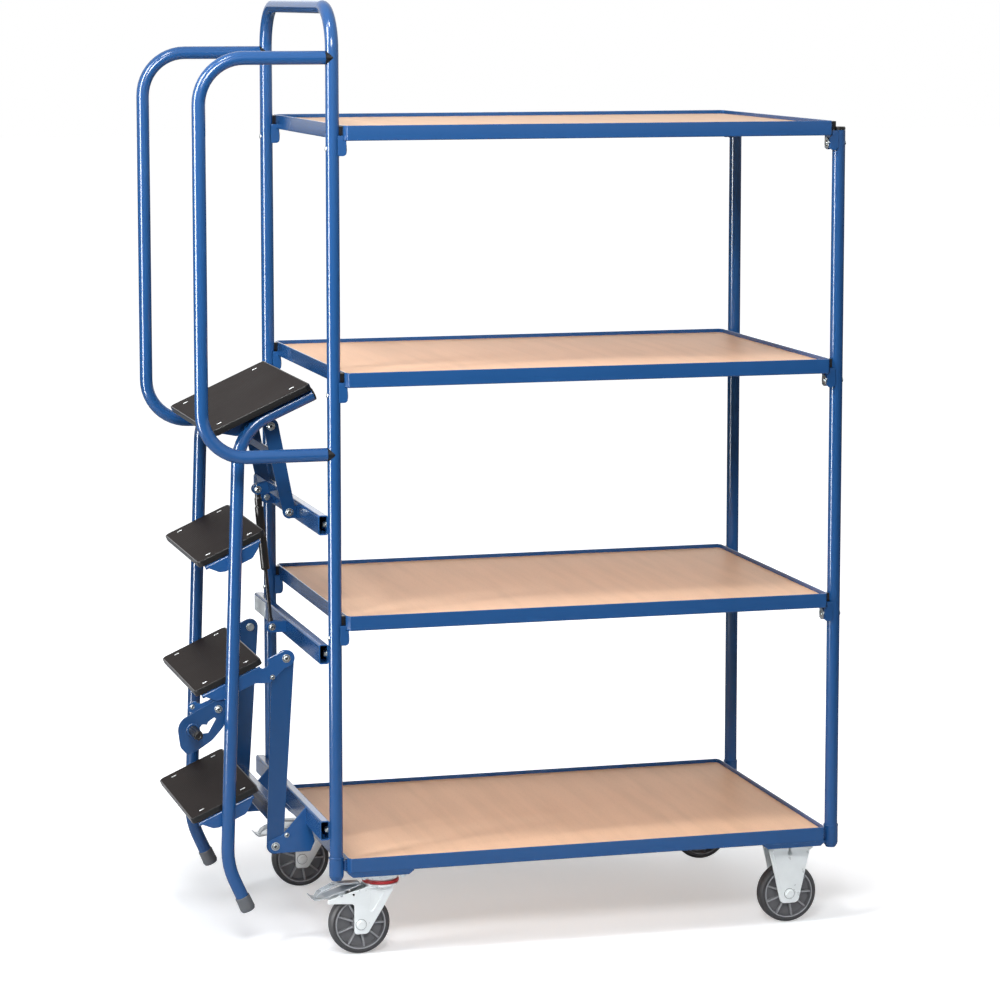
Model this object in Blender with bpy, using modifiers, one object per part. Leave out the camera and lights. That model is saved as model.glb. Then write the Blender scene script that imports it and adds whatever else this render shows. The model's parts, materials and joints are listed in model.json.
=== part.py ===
# Order picking trolley with a folding step ladder.
#
# Four framed shelf decks stand between a tube hoop and two tube posts, on two
# swivel and two fixed castors. At the hoop end, three cross rails carry a step
# ladder on a four-bar linkage with a gas spring, shown here folded up.
#
# Axes: +X runs from the ladder end to the plain end, +Y away from the viewer's
# side, +Z up. The origin is on the floor, under the middle of the whole trolley.

import math

import bmesh
import bpy
from mathutils import Matrix, Vector

# Fits that every piece shares
SEAT_GAP = 0.0003
PIN_CLEARANCE = 0.0004
WELD_OVERLAP = 0.001
CUT_OVERRUN = 0.002

# Tube used for the hoop, posts, guard rails and ladder stiles
TUBE_RADIUS = 0.01345

# Shelf decks: a rim of angle section with a board laid in it
SHELF_LENGTH = 1.020
SHELF_WIDTH = 0.684
RIM_HEIGHT = 0.030
RIM_WALL = 0.003
RIM_LEDGE = 0.030
RIM_CORNER = 0.009
BOARD_THICKNESS = 0.019
BOARD_CLEARANCE = 0.001
DECK_TOP = 0.210
TOP_SHELF_TOP = 1.676
SHELF_PITCH = 0.4865

# Hoop and posts
POST_STANDOFF = 0.0193
POST_INSET = 0.025
HOOP_TOP = 1.920
HOOP_BEND = 0.085
POST_TOP = 1.656
CAP_HEIGHT = 0.007
CAP_RIM = 0.003

# Sleeves on the bottom deck that hold the feet of the hoop and posts
SLEEVE_WALL = 0.0018
SLEEVE_TOP = 0.209
SLEEVE_BOTTOM = 0.162
SLEEVE_FLOOR = 0.005
SLEEVE_WEB_WIDTH = 0.014
SLEEVE_WEB_MARGIN = 0.006

# Saddle brackets that join the upper shelves to the posts
SADDLE_SHEET = 0.0022
SADDLE_DROP = 0.020
SADDLE_HEIGHT = 0.040
SADDLE_WRAP = 0.0074
SADDLE_REACH = 0.0056
SADDLE_BOLT_DROP = 0.046
SADDLE_BOLT_RADIUS = 0.006

# Guard rails
GUARD_LOW_RISE = 0.141
GUARD_HIGH_DROP = 0.112
GUARD_REACH = 0.2657
GUARD_BEND = 0.090
GUARD_PAD_WEB = 0.002

# Cross rails: rectangular tube, bolted across the hoop
RAIL_HEIGHT = 0.040
RAIL_DEPTH = 0.020
RAIL_WALL = 0.0025
RAIL_PAST_POST = 0.003
UPPER_RAIL_HEIGHT = 0.885
MIDDLE_RAIL_DROP = 0.260
LOWER_RAIL_HEIGHT = 0.266

# Linkage pivots: distance out from the hoop's centre line, and height from the
# rail or the pivot that each one hangs on
ARM_FOOT_OUT = 0.0482
ARM_FOOT_DROP = 0.002
ARM_HEAD_OUT = 0.0851
ARM_HEAD_RISE = 0.178
LINK_FOOT_OUT = 0.0977
LINK_FOOT_DROP = 0.0585
LINK_HEAD_OUT = 0.0720
LINK_HEAD_RISE = 0.3875
GAS_FOOT_OUT = 0.0637
GAS_FOOT_RISE = 0.003
GAS_HEAD_OUT = 0.0914
GAS_HEAD_RISE = 0.034
FOLD_TILT = math.radians(24.2)

# Pivot bolts and linkage plates
PLATE = 0.004
BOLT_RADIUS = 0.005
BOLT_HEAD_RADIUS = 0.0085
BOLT_HEAD = 0.003
STOP_BOLT_RADIUS = 0.0045
EYE_RADIUS = 0.0175

# Lower link: two plates and a channel between them
LINK_SIDE = 0.0168
LINK_SHOULDER = 0.0280
LINK_SHOULDER_DROP = 0.048
LINK_CHANNEL_LOW = 0.050
LINK_CHANNEL_HIGH = 0.090
LINK_CHANNEL_DEPTH = 0.020
LINK_CHANNEL_WALL = 0.0025

# Brackets of the lower cross rail
FOOT_BRACKET_RADIUS = 0.0145
FOOT_BRACKET_RISE = 0.012
FOOT_BRACKET_UNDER = 0.018
FOOT_STOP_OUT = 0.0235
FOOT_STOP_RISE = 0.0225

# Upper link: two arms, a cross strip near the head and one with the gas lug
ARM_HALF_SPACING = 0.114
ARM_FOOT_RADIUS = 0.013
ARM_HEAD_RADIUS = 0.016
STRIP_THICKNESS = 0.0035
HEAD_STRIP_SHARE = 0.66
HEAD_STRIP_HEIGHT = 0.018
LUG_STRIP_HEIGHT = 0.024
LUG_CHEEK = 0.004
LUG_RADIUS = 0.011

# Gas spring
GAS_EYE_RADIUS = 0.008
GAS_EYE_THICKNESS = 0.009
GAS_PIN_RADIUS = 0.004
GAS_ROD_RADIUS = 0.004
GAS_CYLINDER_RADIUS = 0.00825
GAS_CYLINDER_LENGTH = 0.139
GAS_HEAD_NECK = 0.031
GAS_NECK_RADIUS = 0.0042
GAS_ROD_HIDDEN = 0.020
GAS_BORE_END = 0.014
GAS_EAR_RADIUS = 0.012

# Ladder: stiles, in the ladder's own frame with level treads and its origin
# on the lower link's head pivot
STILE_HALF_SPACING = 0.2017
STILE_LEAN = math.radians(26.2)
PLATFORM_PIVOT_DROP = 0.039
STILE_LINE_X = -0.1264
STILE_TOP_BEND = 0.105
STILE_TOP_REACH = 0.1654
STILE_FOOT_BEND_DEPTH = 0.3278
STILE_FOOT_BEND = 0.150
FOOT_BOTTOM = 0.4323
FERRULE_RADIUS = 0.0158
FERRULE_HEIGHT = 0.032
FERRULE_FLOOR = 0.005
STILE_CAP = 0.0035

# Treads and their sheet supports
TREAD_DEPTH = 0.150
TREAD_THICKNESS = 0.0125
TREAD_CORNER = 0.012
TREAD_RISE_SHARE = 0.5017
MIDDLE_TREAD_TOP = 0.0245
MIDDLE_TREAD_CENTRE = -0.1223
PLATFORM_DEPTH = 0.2223
PLATFORM_HALF_WIDTH = 0.230
PLATFORM_THICKNESS = 0.013
PLATFORM_OVERHANG = 0.0563
SUPPORT_SHEET = 0.003
SUPPORT_DROP = 0.0295
SUPPORT_OUTLINE_SHARES = ((0.077, 0.0), (0.22, 0.85), (0.30, 1.0), (0.70, 1.0), (0.83, 0.5), (0.887, 0.0))
SUPPORT_ROUND = 0.012

# Arm of the middle support, which reaches the lower link's head pivot
ARM_NOTCH_X = 0.055
ARM_NOTCH_RISE = 0.003
ARM_STEP_X = 0.037
ARM_BULGE_X = 0.052
ARM_BULGE_DEPTH = 0.031
ARM_BULGE_START_X = 0.078
ARM_HEEL_SHARE = 0.7
ARM_STOP_X = 0.0417
ARM_STOP_DEPTH = 0.0218

# Locking plate under the middle tread
LATCH_X = -0.1675
LATCH_Z = -0.0313
LATCH_SHEET = 0.003
LATCH_REACH = 0.100
LATCH_OUTLINE_SHARES = (
    (0.15, 0.00, 0.13), (0.10, 0.20, 0.10), (-0.45, 0.17, 0.30), (-0.88, 0.14, 0.30),
    (-1.03, -0.36, 0.20), (-0.96, -0.57, 0.10), (-0.74, -0.58, 0.10), (-0.02, -0.38, 0.20),
)
LATCH_SLOT_SHARES = (
    (-0.14, -0.10, 0.0), (-0.34, -0.155, 0.03), (-0.44, -0.12, 0.06), (-0.55, -0.20, 0.06),
    (-0.50, -0.33, 0.05), (-0.37, -0.33, 0.05), (-0.13, -0.18, 0.0),
)
GRIP_X_SHARE = -0.645
GRIP_Z_SHARE = -0.14
GRIP_RADIUS = 0.0105
GRIP_LENGTH = 0.060
GRIP_BOSS_RADIUS = 0.0125
GRIP_BOSS_LENGTH = 0.006
LUG_PLATE_TOP = 0.007
LUG_PLATE_HEIGHT = 0.020
LUG_PLATE_OUT = 0.0555
LUG_STEM_OUT = 0.020

# Castors
CASTOR_HEIGHT = 0.164
WHEEL_RADIUS = 0.0625
TYRE_WIDTH = 0.032
TYRE_BORE = 0.046
TYRE_CROWN = 0.006
HUB_FIT = 0.0005
HUB_RING_WALL = 0.0045
HUB_WIDTH = 0.030
HUB_WEB = 0.004
HUB_BOSS_RADIUS = 0.012
HUB_BOSS_WIDTH = 0.034
HUB_RIBS = 9
HUB_RIB = 0.0028
HUB_RIB_RECESS = 0.002
AXLE_RADIUS = 0.006
AXLE_HEAD_RADIUS = 0.0095
AXLE_HEAD = 0.005
CASTOR_INSET = 0.062
SWIVEL_FROM_END = 0.080
FIXED_FROM_END = 0.065
CASTOR_PLATE_LENGTH = 0.105
CASTOR_PLATE_WIDTH = 0.080
CASTOR_PLATE = 0.003
FORK_SHEET = 0.003
FORK_INNER = 0.018
SWIVEL_TRAIL = 0.045
RACE_RADIUS = 0.033
RACE_HEIGHT = 0.006
SEAL_RADIUS = 0.038
SEAL_HEIGHT = 0.0045
CROWN_RADIUS = 0.036
CROWN_HEIGHT = 0.0045
KINGPIN_RADIUS = 0.006
KINGPIN_HEAD_RADIUS = 0.011
KINGPIN_HEAD = 0.004
FORK_TOE_RADIUS = 0.020
FORK_TOE_HALF = 0.014
FORK_REAR_X = 0.022
FORK_REAR_Z = 0.131
FORK_WAIST_X = 0.004
FORK_WAIST_Z = 0.100
FORK_ARM_X = 0.114
FORK_ARM_LOW = 0.105
FORK_ARM_HIGH = 0.128
FORK_ARM_TIP = 0.116
FORK_DIP_X = 0.060
FORK_DIP_Z = 0.136
FORK_NECK_X = 0.038
FORK_NECK_Z = 0.142
FORK_NECK_INSET = 0.0022
FIXED_FORK_TOP_HALF = 0.048
FIXED_FORK_TOE_HALF = 0.0195
GUSSET_LENGTH = 0.136
GUSSET_WIDTH = 0.106
GUSSET_WALL = 0.003
GUSSET_INSET = 0.0005
GUSSET_CHAMFER = 0.010

# Brake pedal, in the castor's frame with its origin on the swivel axis
PEDAL_PIVOT_X = -0.085
PEDAL_PIVOT_Z = 0.125
PEDAL_SHEET = 0.003
PEDAL_HALF_WIDTH = 0.020
PEDAL_INNER_X = -0.044
PEDAL_INNER_Z = 0.148
PEDAL_CREST_X = -0.092
PEDAL_CREST_Z = 0.150
PEDAL_KNEE_X = -0.134
PEDAL_KNEE_Z = 0.138
PEDAL_TIP_X = -0.149
PEDAL_TIP_Z = 0.124
PEDAL_PIN_RADIUS = 0.003
PEDAL_LUG_RADIUS = 0.007

# How finely round shapes are cut
BEND_STEP = math.radians(18)
SMALL_BEND = 0.030
SMALL_STEP = math.radians(30)
TUBE_RESOLUTION = 4
TUBE_STEPS = 12
BOLT_STEPS = 10
TYRE_STEPS = 24
HUB_STEPS = 18
RACE_STEPS = 18
HEX_STEPS = 6
SMOOTH_ANGLE = math.radians(40)
SLIGHT_ROUND_SHARE = 0.25
FORK_FRONT_ROUND_SHARE = 0.33
MERGE = 0.00001

# Places worked out from the sizes above
POST_OUT = SHELF_LENGTH / 2 + POST_STANDOFF
SLEEVE_BORE = TUBE_RADIUS + SEAT_GAP
SLEEVE_RADIUS = SLEEVE_BORE + SLEEVE_WALL
LADDER_END = POST_OUT + GUARD_REACH + TUBE_RADIUS
PLAIN_END = POST_OUT + SLEEVE_RADIUS
SHELF_X = (LADDER_END - PLAIN_END) / 2
HOOP_X = SHELF_X - POST_OUT
PLAIN_X = SHELF_X + POST_OUT
POST_Y = SHELF_WIDTH / 2 - POST_INSET
POST_FOOT = SLEEVE_BOTTOM + SLEEVE_FLOOR + SEAT_GAP
RAIL_HALF_LENGTH = POST_Y + RAIL_PAST_POST
RAIL_INNER_X = HOOP_X - TUBE_RADIUS - SEAT_GAP
RAIL_OUTER_X = RAIL_INNER_X - RAIL_DEPTH
GUARD_LOW = UPPER_RAIL_HEIGHT + GUARD_LOW_RISE
GUARD_HIGH = HOOP_TOP - GUARD_HIGH_DROP
MIDDLE_RAIL_HEIGHT = UPPER_RAIL_HEIGHT - MIDDLE_RAIL_DROP
ARM_FOOT_HEIGHT = UPPER_RAIL_HEIGHT - ARM_FOOT_DROP
ARM_HEAD_HEIGHT = ARM_FOOT_HEIGHT + ARM_HEAD_RISE
LINK_FOOT_HEIGHT = LOWER_RAIL_HEIGHT - LINK_FOOT_DROP
LINK_HEAD_HEIGHT = LINK_FOOT_HEIGHT + LINK_HEAD_RISE
GAS_FOOT_HEIGHT = MIDDLE_RAIL_HEIGHT + GAS_FOOT_RISE
GAS_HEAD_HEIGHT = ARM_FOOT_HEIGHT + GAS_HEAD_RISE
HEAD_PIVOT_RISE = ((ARM_HEAD_HEIGHT - LINK_HEAD_HEIGHT) * math.cos(FOLD_TILT)
                   + (ARM_HEAD_OUT - LINK_HEAD_OUT) * math.sin(FOLD_TILT))
STILE_TOP = HEAD_PIVOT_RISE + PLATFORM_PIVOT_DROP
STILE_TOP_BEND_X = STILE_LINE_X + STILE_TOP * math.tan(STILE_LEAN)
STILE_TOP_END = STILE_TOP_BEND_X + STILE_TOP_REACH
PLATFORM_OUTER = STILE_TOP_BEND_X - PLATFORM_OVERHANG
TREAD_RISE = STILE_TOP * TREAD_RISE_SHARE
TREAD_GOING = TREAD_RISE * math.tan(STILE_LEAN)
SHELF_TOPS = [TOP_SHELF_TOP - step * SHELF_PITCH for step in range(3)]
SUPPORT_HALF_WIDTH = STILE_HALF_SPACING - TUBE_RADIUS - SEAT_GAP
LINK_OUTER_Y = SUPPORT_HALF_WIDTH - SUPPORT_SHEET - SEAT_GAP
LINK_INNER_Y = LINK_OUTER_Y - PLATE
ARM_OUTER_Y = ARM_HALF_SPACING + PLATE / 2
ARM_INNER_Y = ARM_HALF_SPACING - PLATE / 2
EAR_OUTER_Y = ARM_INNER_Y - SEAT_GAP
EAR_INNER_Y = EAR_OUTER_Y - PLATE
CHEEK_INNER_Y = GAS_EYE_THICKNESS / 2 + SEAT_GAP
CHEEK_OUTER_Y = CHEEK_INNER_Y + LUG_CHEEK
SIDES = (("near", -1), ("far", 1))

BLUE = ("blue_powder_coat", (0.021, 0.107, 0.327), 0.36, 0.0)
BEECH = ("beech_board", (0.80, 0.58, 0.40), 0.55, 0.0)
TREAD_FACE = ("ribbed_tread", (0.080, 0.072, 0.070), 0.80, 0.0)
BLACK = ("black_plastic", (0.012, 0.012, 0.013), 0.45, 0.0)
GREY_RUBBER = ("grey_rubber", (0.085, 0.090, 0.100), 0.70, 0.0)
TYRE_RUBBER = ("tyre_rubber", (0.060, 0.060, 0.064), 0.65, 0.0)
HUB_PLASTIC = ("hub_plastic", (0.130, 0.130, 0.135), 0.50, 0.0)
ZINC = ("bright_zinc", (0.70, 0.74, 0.75), 0.28, 1.0)
RED = ("red_seal", (0.50, 0.020, 0.022), 0.45, 0.0)

for old in list(bpy.data.objects):
    bpy.data.objects.remove(old, do_unlink=True)

TROLLEY = bpy.data.collections.new("order_picking_trolley")
TOOLS = bpy.data.collections.new("cutters")
bpy.context.scene.collection.children.link(TROLLEY)
bpy.context.scene.collection.children.link(TOOLS)


# Shape helpers

def surface(finish):
    """The material for a finish given as name, colour, roughness and metallic value."""
    name, colour, roughness, metallic = finish
    found = bpy.data.materials.get(name)
    if found:
        return found
    made = bpy.data.materials.new(name)
    made.use_nodes = True
    shader = made.node_tree.nodes["Principled BSDF"]
    shader.inputs["Base Color"].default_value = (*colour, 1.0)
    shader.inputs["Roughness"].default_value = roughness
    shader.inputs["Metallic"].default_value = metallic
    made.diffuse_color = (*colour, 1.0)
    return made


def put(mesh, smooth=False):
    """A new object in the tools collection, until finish names it as a piece."""
    if smooth:
        mesh.shade_smooth()
        mesh.set_sharp_from_angle(angle=SMOOTH_ANGLE)
    made = bpy.data.objects.new("shape", mesh)
    TOOLS.objects.link(made)
    made.hide_render = True
    made.display_type = "WIRE"
    return made


def from_bmesh(shape, smooth=False):
    mesh = bpy.data.meshes.new("shape")
    shape.to_mesh(mesh)
    shape.free()
    return put(mesh, smooth)


def from_curve(curve, smooth=False):
    """A welded mesh object made from a curve, whose own object is removed."""
    guide = bpy.data.objects.new("guide", curve)
    TOOLS.objects.link(guide)
    bpy.context.view_layer.update()
    seen = guide.evaluated_get(bpy.context.evaluated_depsgraph_get())
    mesh = bpy.data.meshes.new_from_object(seen)
    bpy.data.objects.remove(guide, do_unlink=True)
    bpy.data.curves.remove(curve)
    shape = bmesh.new()
    shape.from_mesh(mesh)
    bmesh.ops.remove_doubles(shape, verts=shape.verts, dist=MERGE)
    bmesh.ops.recalc_face_normals(shape, faces=shape.faces)
    shape.to_mesh(mesh)
    shape.free()
    return put(mesh, smooth)


def fillet_lengths(corners, closed):
    """How far each corner's arc reaches along its two runs, kept within each run."""
    total = len(corners)
    reach = []
    for number, (place, radius) in enumerate(corners):
        if radius == 0 or (not closed and number in (0, total - 1)):
            reach.append(0.0)
            continue
        before = corners[number - 1][0] - place
        after = corners[(number + 1) % total][0] - place
        reach.append(radius / math.tan(before.angle(after) / 2))
    fitted = list(reach)
    for number in range(total if closed else total - 1):
        other = (number + 1) % total
        run = (corners[other][0] - corners[number][0]).length
        wanted = reach[number] + reach[other]
        if wanted > run:
            fitted[number] = min(fitted[number], reach[number] * run / wanted)
            fitted[other] = min(fitted[other], reach[other] * run / wanted)
    return fitted


def rounded(corners, closed):
    """Points along straight runs whose corners, given as place and radius, are arcs."""
    points = []
    lengths = fillet_lengths(corners, closed)
    for number, (place, radius) in enumerate(corners):
        if lengths[number] == 0:
            points.append(place)
            continue
        before = (corners[number - 1][0] - place).normalized()
        after = (corners[(number + 1) % len(corners)][0] - place).normalized()
        half = before.angle(after) / 2
        fitted = lengths[number] * math.tan(half)
        centre = place + (before + after).normalized() * fitted / math.sin(half)
        start = place + before * lengths[number] - centre
        end = place + after * lengths[number] - centre
        turn = math.pi - 2 * half
        step = SMALL_STEP if radius < SMALL_BEND else BEND_STEP
        count = max(1, math.ceil(turn / step - MERGE))
        for part in range(count + 1):
            spin = Matrix.Rotation(turn * part / count, 3, start.cross(end))
            points.append(centre + spin @ start)
    return points


def spline(curve, points, closed):
    line = curve.splines.new("POLY")
    line.points.add(len(points) - 1)
    for place, point in zip(points, line.points):
        point.co = (place[0], place[1], place[2], 1.0)
    line.use_cyclic_u = closed


def tube(corners, radius=TUBE_RADIUS, resolution=TUBE_RESOLUTION):
    """A round bar along a route of places, each with the radius of its bend."""
    curve = bpy.data.curves.new("route", "CURVE")
    curve.dimensions = "3D"
    curve.bevel_depth = radius
    curve.bevel_resolution = resolution
    curve.use_fill_caps = True
    spline(curve, rounded([(Vector(place), bend) for place, bend in corners], False), False)
    return from_curve(curve, smooth=True)


def slab(outline, low, high, holes=()):
    """A flat shape of (x, y, corner radius) points, filled between two heights."""
    curve = bpy.data.curves.new("outline", "CURVE")
    curve.dimensions = "2D"
    curve.fill_mode = "BOTH"
    curve.extrude = (high - low) / 2
    for loop in (outline, *holes):
        corners = [(Vector((x, y, 0)), radius) for x, y, radius in loop]
        spline(curve, rounded(corners, True), True)
    made = from_curve(curve)
    made.data.transform(Matrix.Translation((0, 0, (low + high) / 2)))
    return made


def plate(outline, start, end, holes=()):
    """A flat shape of (x, z, corner radius) points, filled between two Y values."""
    made = slab(outline, -end, -start, holes)
    made.data.transform(Matrix.Rotation(math.radians(90), 4, "X"))
    return made


def box(low, high):
    shape = bmesh.new()
    bmesh.ops.create_cube(shape, size=1)
    low = Vector(low)
    high = Vector(high)
    middle = (low + high) / 2
    size = high - low
    bmesh.ops.transform(shape, matrix=Matrix.Translation(middle) @ Matrix.Diagonal((*size, 1)),
                        verts=shape.verts)
    return from_bmesh(shape)


def rod(start, end, radius, steps=TUBE_STEPS):
    """A straight cylinder between two places."""
    start = Vector(start)
    end = Vector(end)
    run = end - start
    shape = bmesh.new()
    bmesh.ops.create_cone(shape, cap_ends=True, segments=steps, radius1=radius, radius2=radius,
                          depth=run.length)
    turn = Vector((0, 0, 1)).rotation_difference(run).to_matrix().to_4x4()
    bmesh.ops.transform(shape, matrix=Matrix.Translation((start + end) / 2) @ turn, verts=shape.verts)
    return from_bmesh(shape, smooth=True)


def turned(profile, closed, steps=TUBE_STEPS):
    """A profile of (radius, height) points, top to bottom on its outer side, turned about Z."""
    shape = bmesh.new()
    corners = [shape.verts.new((radius, 0, height)) for radius, height in profile]
    for number in range(len(corners) - 1):
        shape.edges.new((corners[number], corners[number + 1]))
    if closed:
        shape.edges.new((corners[-1], corners[0]))
    made = from_bmesh(shape)
    screw = made.modifiers.new("turn", "SCREW")
    screw.axis = "Z"
    screw.steps = steps
    screw.render_steps = steps
    screw.use_merge_vertices = True
    screw.merge_threshold = MERGE
    screw.use_smooth_shade = True
    return made


def lay(made, place, axis="Z"):
    """Puts a turned shape at a place, with its axis along Z, X or Y."""
    turns = {"Z": (0, 0, 0), "X": (0, math.radians(90), 0), "Y": (math.radians(-90), 0, 0)}
    made.rotation_euler = turns[axis]
    made.location = place
    return made


def combine(base, others, operation):
    for other in others:
        other.parent = base
        other.matrix_parent_inverse = base.matrix_basis.inverted()
        step = base.modifiers.new(operation.lower(), "BOOLEAN")
        step.operation = operation
        step.solver = "EXACT"
        step.object = other
    return base


def add(base, *others):
    return combine(base, others, "UNION")


def cut(base, *others):
    return combine(base, others, "DIFFERENCE")


def finish(made, name, look, pivot=None):
    """Names a shape as a piece of the trolley, with its material and its pivot."""
    TOOLS.objects.unlink(made)
    TROLLEY.objects.link(made)
    made.name = name
    made.data.name = name
    made.hide_render = False
    made.display_type = "TEXTURED"
    made.data.materials.clear()
    made.data.materials.append(surface(look))
    if pivot:
        made.parent = pivot
    return made


def pivot_at(name, place, turn=(0, 0, 0), parent=None):
    """An empty on a joint's axis, which its pieces hang from."""
    made = bpy.data.objects.new(name, None)
    TROLLEY.objects.link(made)
    made.location = place
    made.rotation_euler = turn
    made.parent = parent
    return made


def rectangle(x_low, x_high, y_low, y_high, radius=0.0):
    return ((x_low, y_low, radius), (x_high, y_low, radius), (x_high, y_high, radius),
            (x_low, y_high, radius))


def chamfered(x_low, x_high, y_low, y_high, cut_back):
    """A rectangle whose corners are cut straight across."""
    corners = []
    for x, y, along in ((x_low, y_low, 1), (x_high, y_low, 0), (x_high, y_high, 1), (x_low, y_high, 0)):
        x_in = x + cut_back if x == x_low else x - cut_back
        y_in = y + cut_back if y == y_low else y - cut_back
        pair = [(x, y_in, 0.0), (x_in, y, 0.0)]
        corners += pair if along else reversed(pair)
    return tuple(corners)


def ring_of(x, y, radius):
    """A square outline whose corner arcs meet, which makes a full circle."""
    near_full = radius - MERGE
    return rectangle(x - radius, x + radius, y - radius, y + radius, near_full)


def hinge_bolt(x, z, start, end, head_side, radius=BOLT_RADIUS, head_radius=BOLT_HEAD_RADIUS):
    """A pivot bolt along Y, whose head begins where the free shank ends."""
    head_end = end + head_side * BOLT_HEAD
    shank = rod((x, start, z), (x, (end + head_end) / 2, z), radius, BOLT_STEPS)
    head = rod((x, end, z), (x, head_end, z), head_radius, BOLT_STEPS)
    return add(shank, head)


def span(side, inner, outer):
    """Two Y values in rising order, for a plate between two distances on one side."""
    return tuple(sorted((side * inner, side * outer)))


# Shelf decks

def shelf_rim(top):
    """A rim of angle section: an upright wall all round and a ledge that carries the board."""
    half_length = SHELF_LENGTH / 2
    half_width = SHELF_WIDTH / 2
    low = top - RIM_HEIGHT
    rim = slab(chamfered(SHELF_X - half_length, SHELF_X + half_length, -half_width, half_width,
                         RIM_CORNER), low, top)
    pocket = slab(chamfered(SHELF_X - half_length + RIM_WALL, SHELF_X + half_length - RIM_WALL,
                            -half_width + RIM_WALL, half_width - RIM_WALL, RIM_CORNER - RIM_WALL / 2),
                  low + RIM_WALL, top + CUT_OVERRUN)
    opening = box((SHELF_X - half_length + RIM_LEDGE, -half_width + RIM_LEDGE, low - CUT_OVERRUN),
                  (SHELF_X + half_length - RIM_LEDGE, half_width - RIM_LEDGE, top + CUT_OVERRUN))
    return cut(rim, pocket, opening)


def board(top):
    half_length = SHELF_LENGTH / 2 - RIM_WALL - BOARD_CLEARANCE
    half_width = SHELF_WIDTH / 2 - RIM_WALL - BOARD_CLEARANCE
    low = top - RIM_HEIGHT + RIM_WALL + SEAT_GAP
    return slab(chamfered(SHELF_X - half_length, SHELF_X + half_length, -half_width, half_width,
                          RIM_CORNER - RIM_WALL / 2), low, low + BOARD_THICKNESS)


def saddle_channel(end, side, low, high, reach):
    """A U of sheet round one post, open towards the post, between two heights."""
    post_x = SHELF_X + end * POST_OUT
    face_x = SHELF_X + end * SHELF_LENGTH / 2
    outer = TUBE_RADIUS + SEAT_GAP + SADDLE_SHEET
    inner = TUBE_RADIUS + SEAT_GAP
    open_x = post_x - end * SADDLE_WRAP
    back_x = face_x - end * reach
    web_x = back_x + end * SADDLE_SHEET
    post_y = side * POST_Y
    outline = ((open_x, post_y - outer, 0), (back_x, post_y - outer, 0), (back_x, post_y + outer, 0),
               (open_x, post_y + outer, 0), (open_x, post_y + inner, 0), (web_x, post_y + inner, 0),
               (web_x, post_y - inner, 0), (open_x, post_y - inner, 0))
    return slab(outline, low, high)


def saddle_spacer(end, side, height):
    """The round spacer on a shelf bolt, from the saddle's web to the post."""
    web_x = SHELF_X + end * (SHELF_LENGTH / 2 - SADDLE_REACH + WELD_OVERLAP)
    post_face = SHELF_X + end * (POST_OUT - TUBE_RADIUS - SEAT_GAP)
    return rod((web_x, side * POST_Y, height), (post_face, side * POST_Y, height), SADDLE_BOLT_RADIUS,
               BOLT_STEPS)


def shelf_frame(top):
    frame = shelf_rim(top)
    low = top - RIM_HEIGHT
    for end in (-1, 1):
        for side in (-1, 1):
            lower = saddle_channel(end, side, top - SADDLE_DROP - SADDLE_HEIGHT, low + RIM_WALL / 2,
                                   SADDLE_REACH)
            upper = saddle_channel(end, side, low - CUT_OVERRUN / 2, top - SADDLE_DROP,
                                   RIM_WALL / 2)
            add(frame, lower, upper, saddle_spacer(end, side, top - SADDLE_BOLT_DROP))
    return frame


def post_sleeve(end, side):
    """A cup that a post stands in, with a web to the rim."""
    profile = ((SLEEVE_BORE, SLEEVE_TOP), (SLEEVE_RADIUS, SLEEVE_TOP),
               (SLEEVE_RADIUS, SLEEVE_BOTTOM + SLEEVE_FLOOR),
               (SLEEVE_RADIUS - SLEEVE_FLOOR, SLEEVE_BOTTOM), (0, SLEEVE_BOTTOM))
    inside = ((0, SLEEVE_BOTTOM + SLEEVE_FLOOR), (SLEEVE_BORE, SLEEVE_BOTTOM + SLEEVE_FLOOR))
    loop = (*inside, *profile)
    cup = turned(tuple(loop), False)
    post_x = SHELF_X + end * POST_OUT
    return lay(cup, (post_x, side * POST_Y, 0))


def sleeve_web(end, side):
    face_x = SHELF_X + end * (SHELF_LENGTH / 2 - WELD_OVERLAP)
    cup_x = SHELF_X + end * (POST_OUT - SLEEVE_BORE - SLEEVE_WALL / 2)
    low_x, high_x = sorted((face_x, cup_x))
    half = SLEEVE_WEB_WIDTH / 2
    low = DECK_TOP - RIM_HEIGHT + RIM_WALL / 2
    return box((low_x, side * POST_Y - half, low),
               (high_x, side * POST_Y + half, SLEEVE_TOP - SLEEVE_WEB_MARGIN))


def castor_gusset(end, side):
    """A folded tray under a deck corner, which a castor is bolted to."""
    far_x = SHELF_X + end * (SHELF_LENGTH / 2 - GUSSET_INSET)
    near_x = far_x - end * GUSSET_LENGTH
    far_y = side * (SHELF_WIDTH / 2 - GUSSET_INSET)
    near_y = far_y - side * GUSSET_WIDTH
    x_low, x_high = sorted((near_x, far_x))
    y_low, y_high = sorted((near_y, far_y))
    bottom = CASTOR_HEIGHT + SEAT_GAP
    top = DECK_TOP - RIM_HEIGHT + RIM_WALL / 2
    outline = ((x_low, top, 0), (x_low, bottom + GUSSET_CHAMFER, 0), (x_low + GUSSET_CHAMFER, bottom, 0),
               (x_high - GUSSET_CHAMFER, bottom, 0), (x_high, bottom + GUSSET_CHAMFER, 0),
               (x_high, top, 0))
    tray = plate(outline, y_low, y_high)
    wall = GUSSET_WALL
    hollow = ((x_low + wall, top + CUT_OVERRUN, 0), (x_low + wall, bottom + GUSSET_CHAMFER, 0),
              (x_low + GUSSET_CHAMFER, bottom + wall, 0), (x_high - GUSSET_CHAMFER, bottom + wall, 0),
              (x_high - wall, bottom + GUSSET_CHAMFER, 0), (x_high - wall, top + CUT_OVERRUN, 0))
    inner = sorted((far_y - side * wall, near_y - side * CUT_OVERRUN))
    return cut(tray, plate(hollow, *inner))


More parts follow.
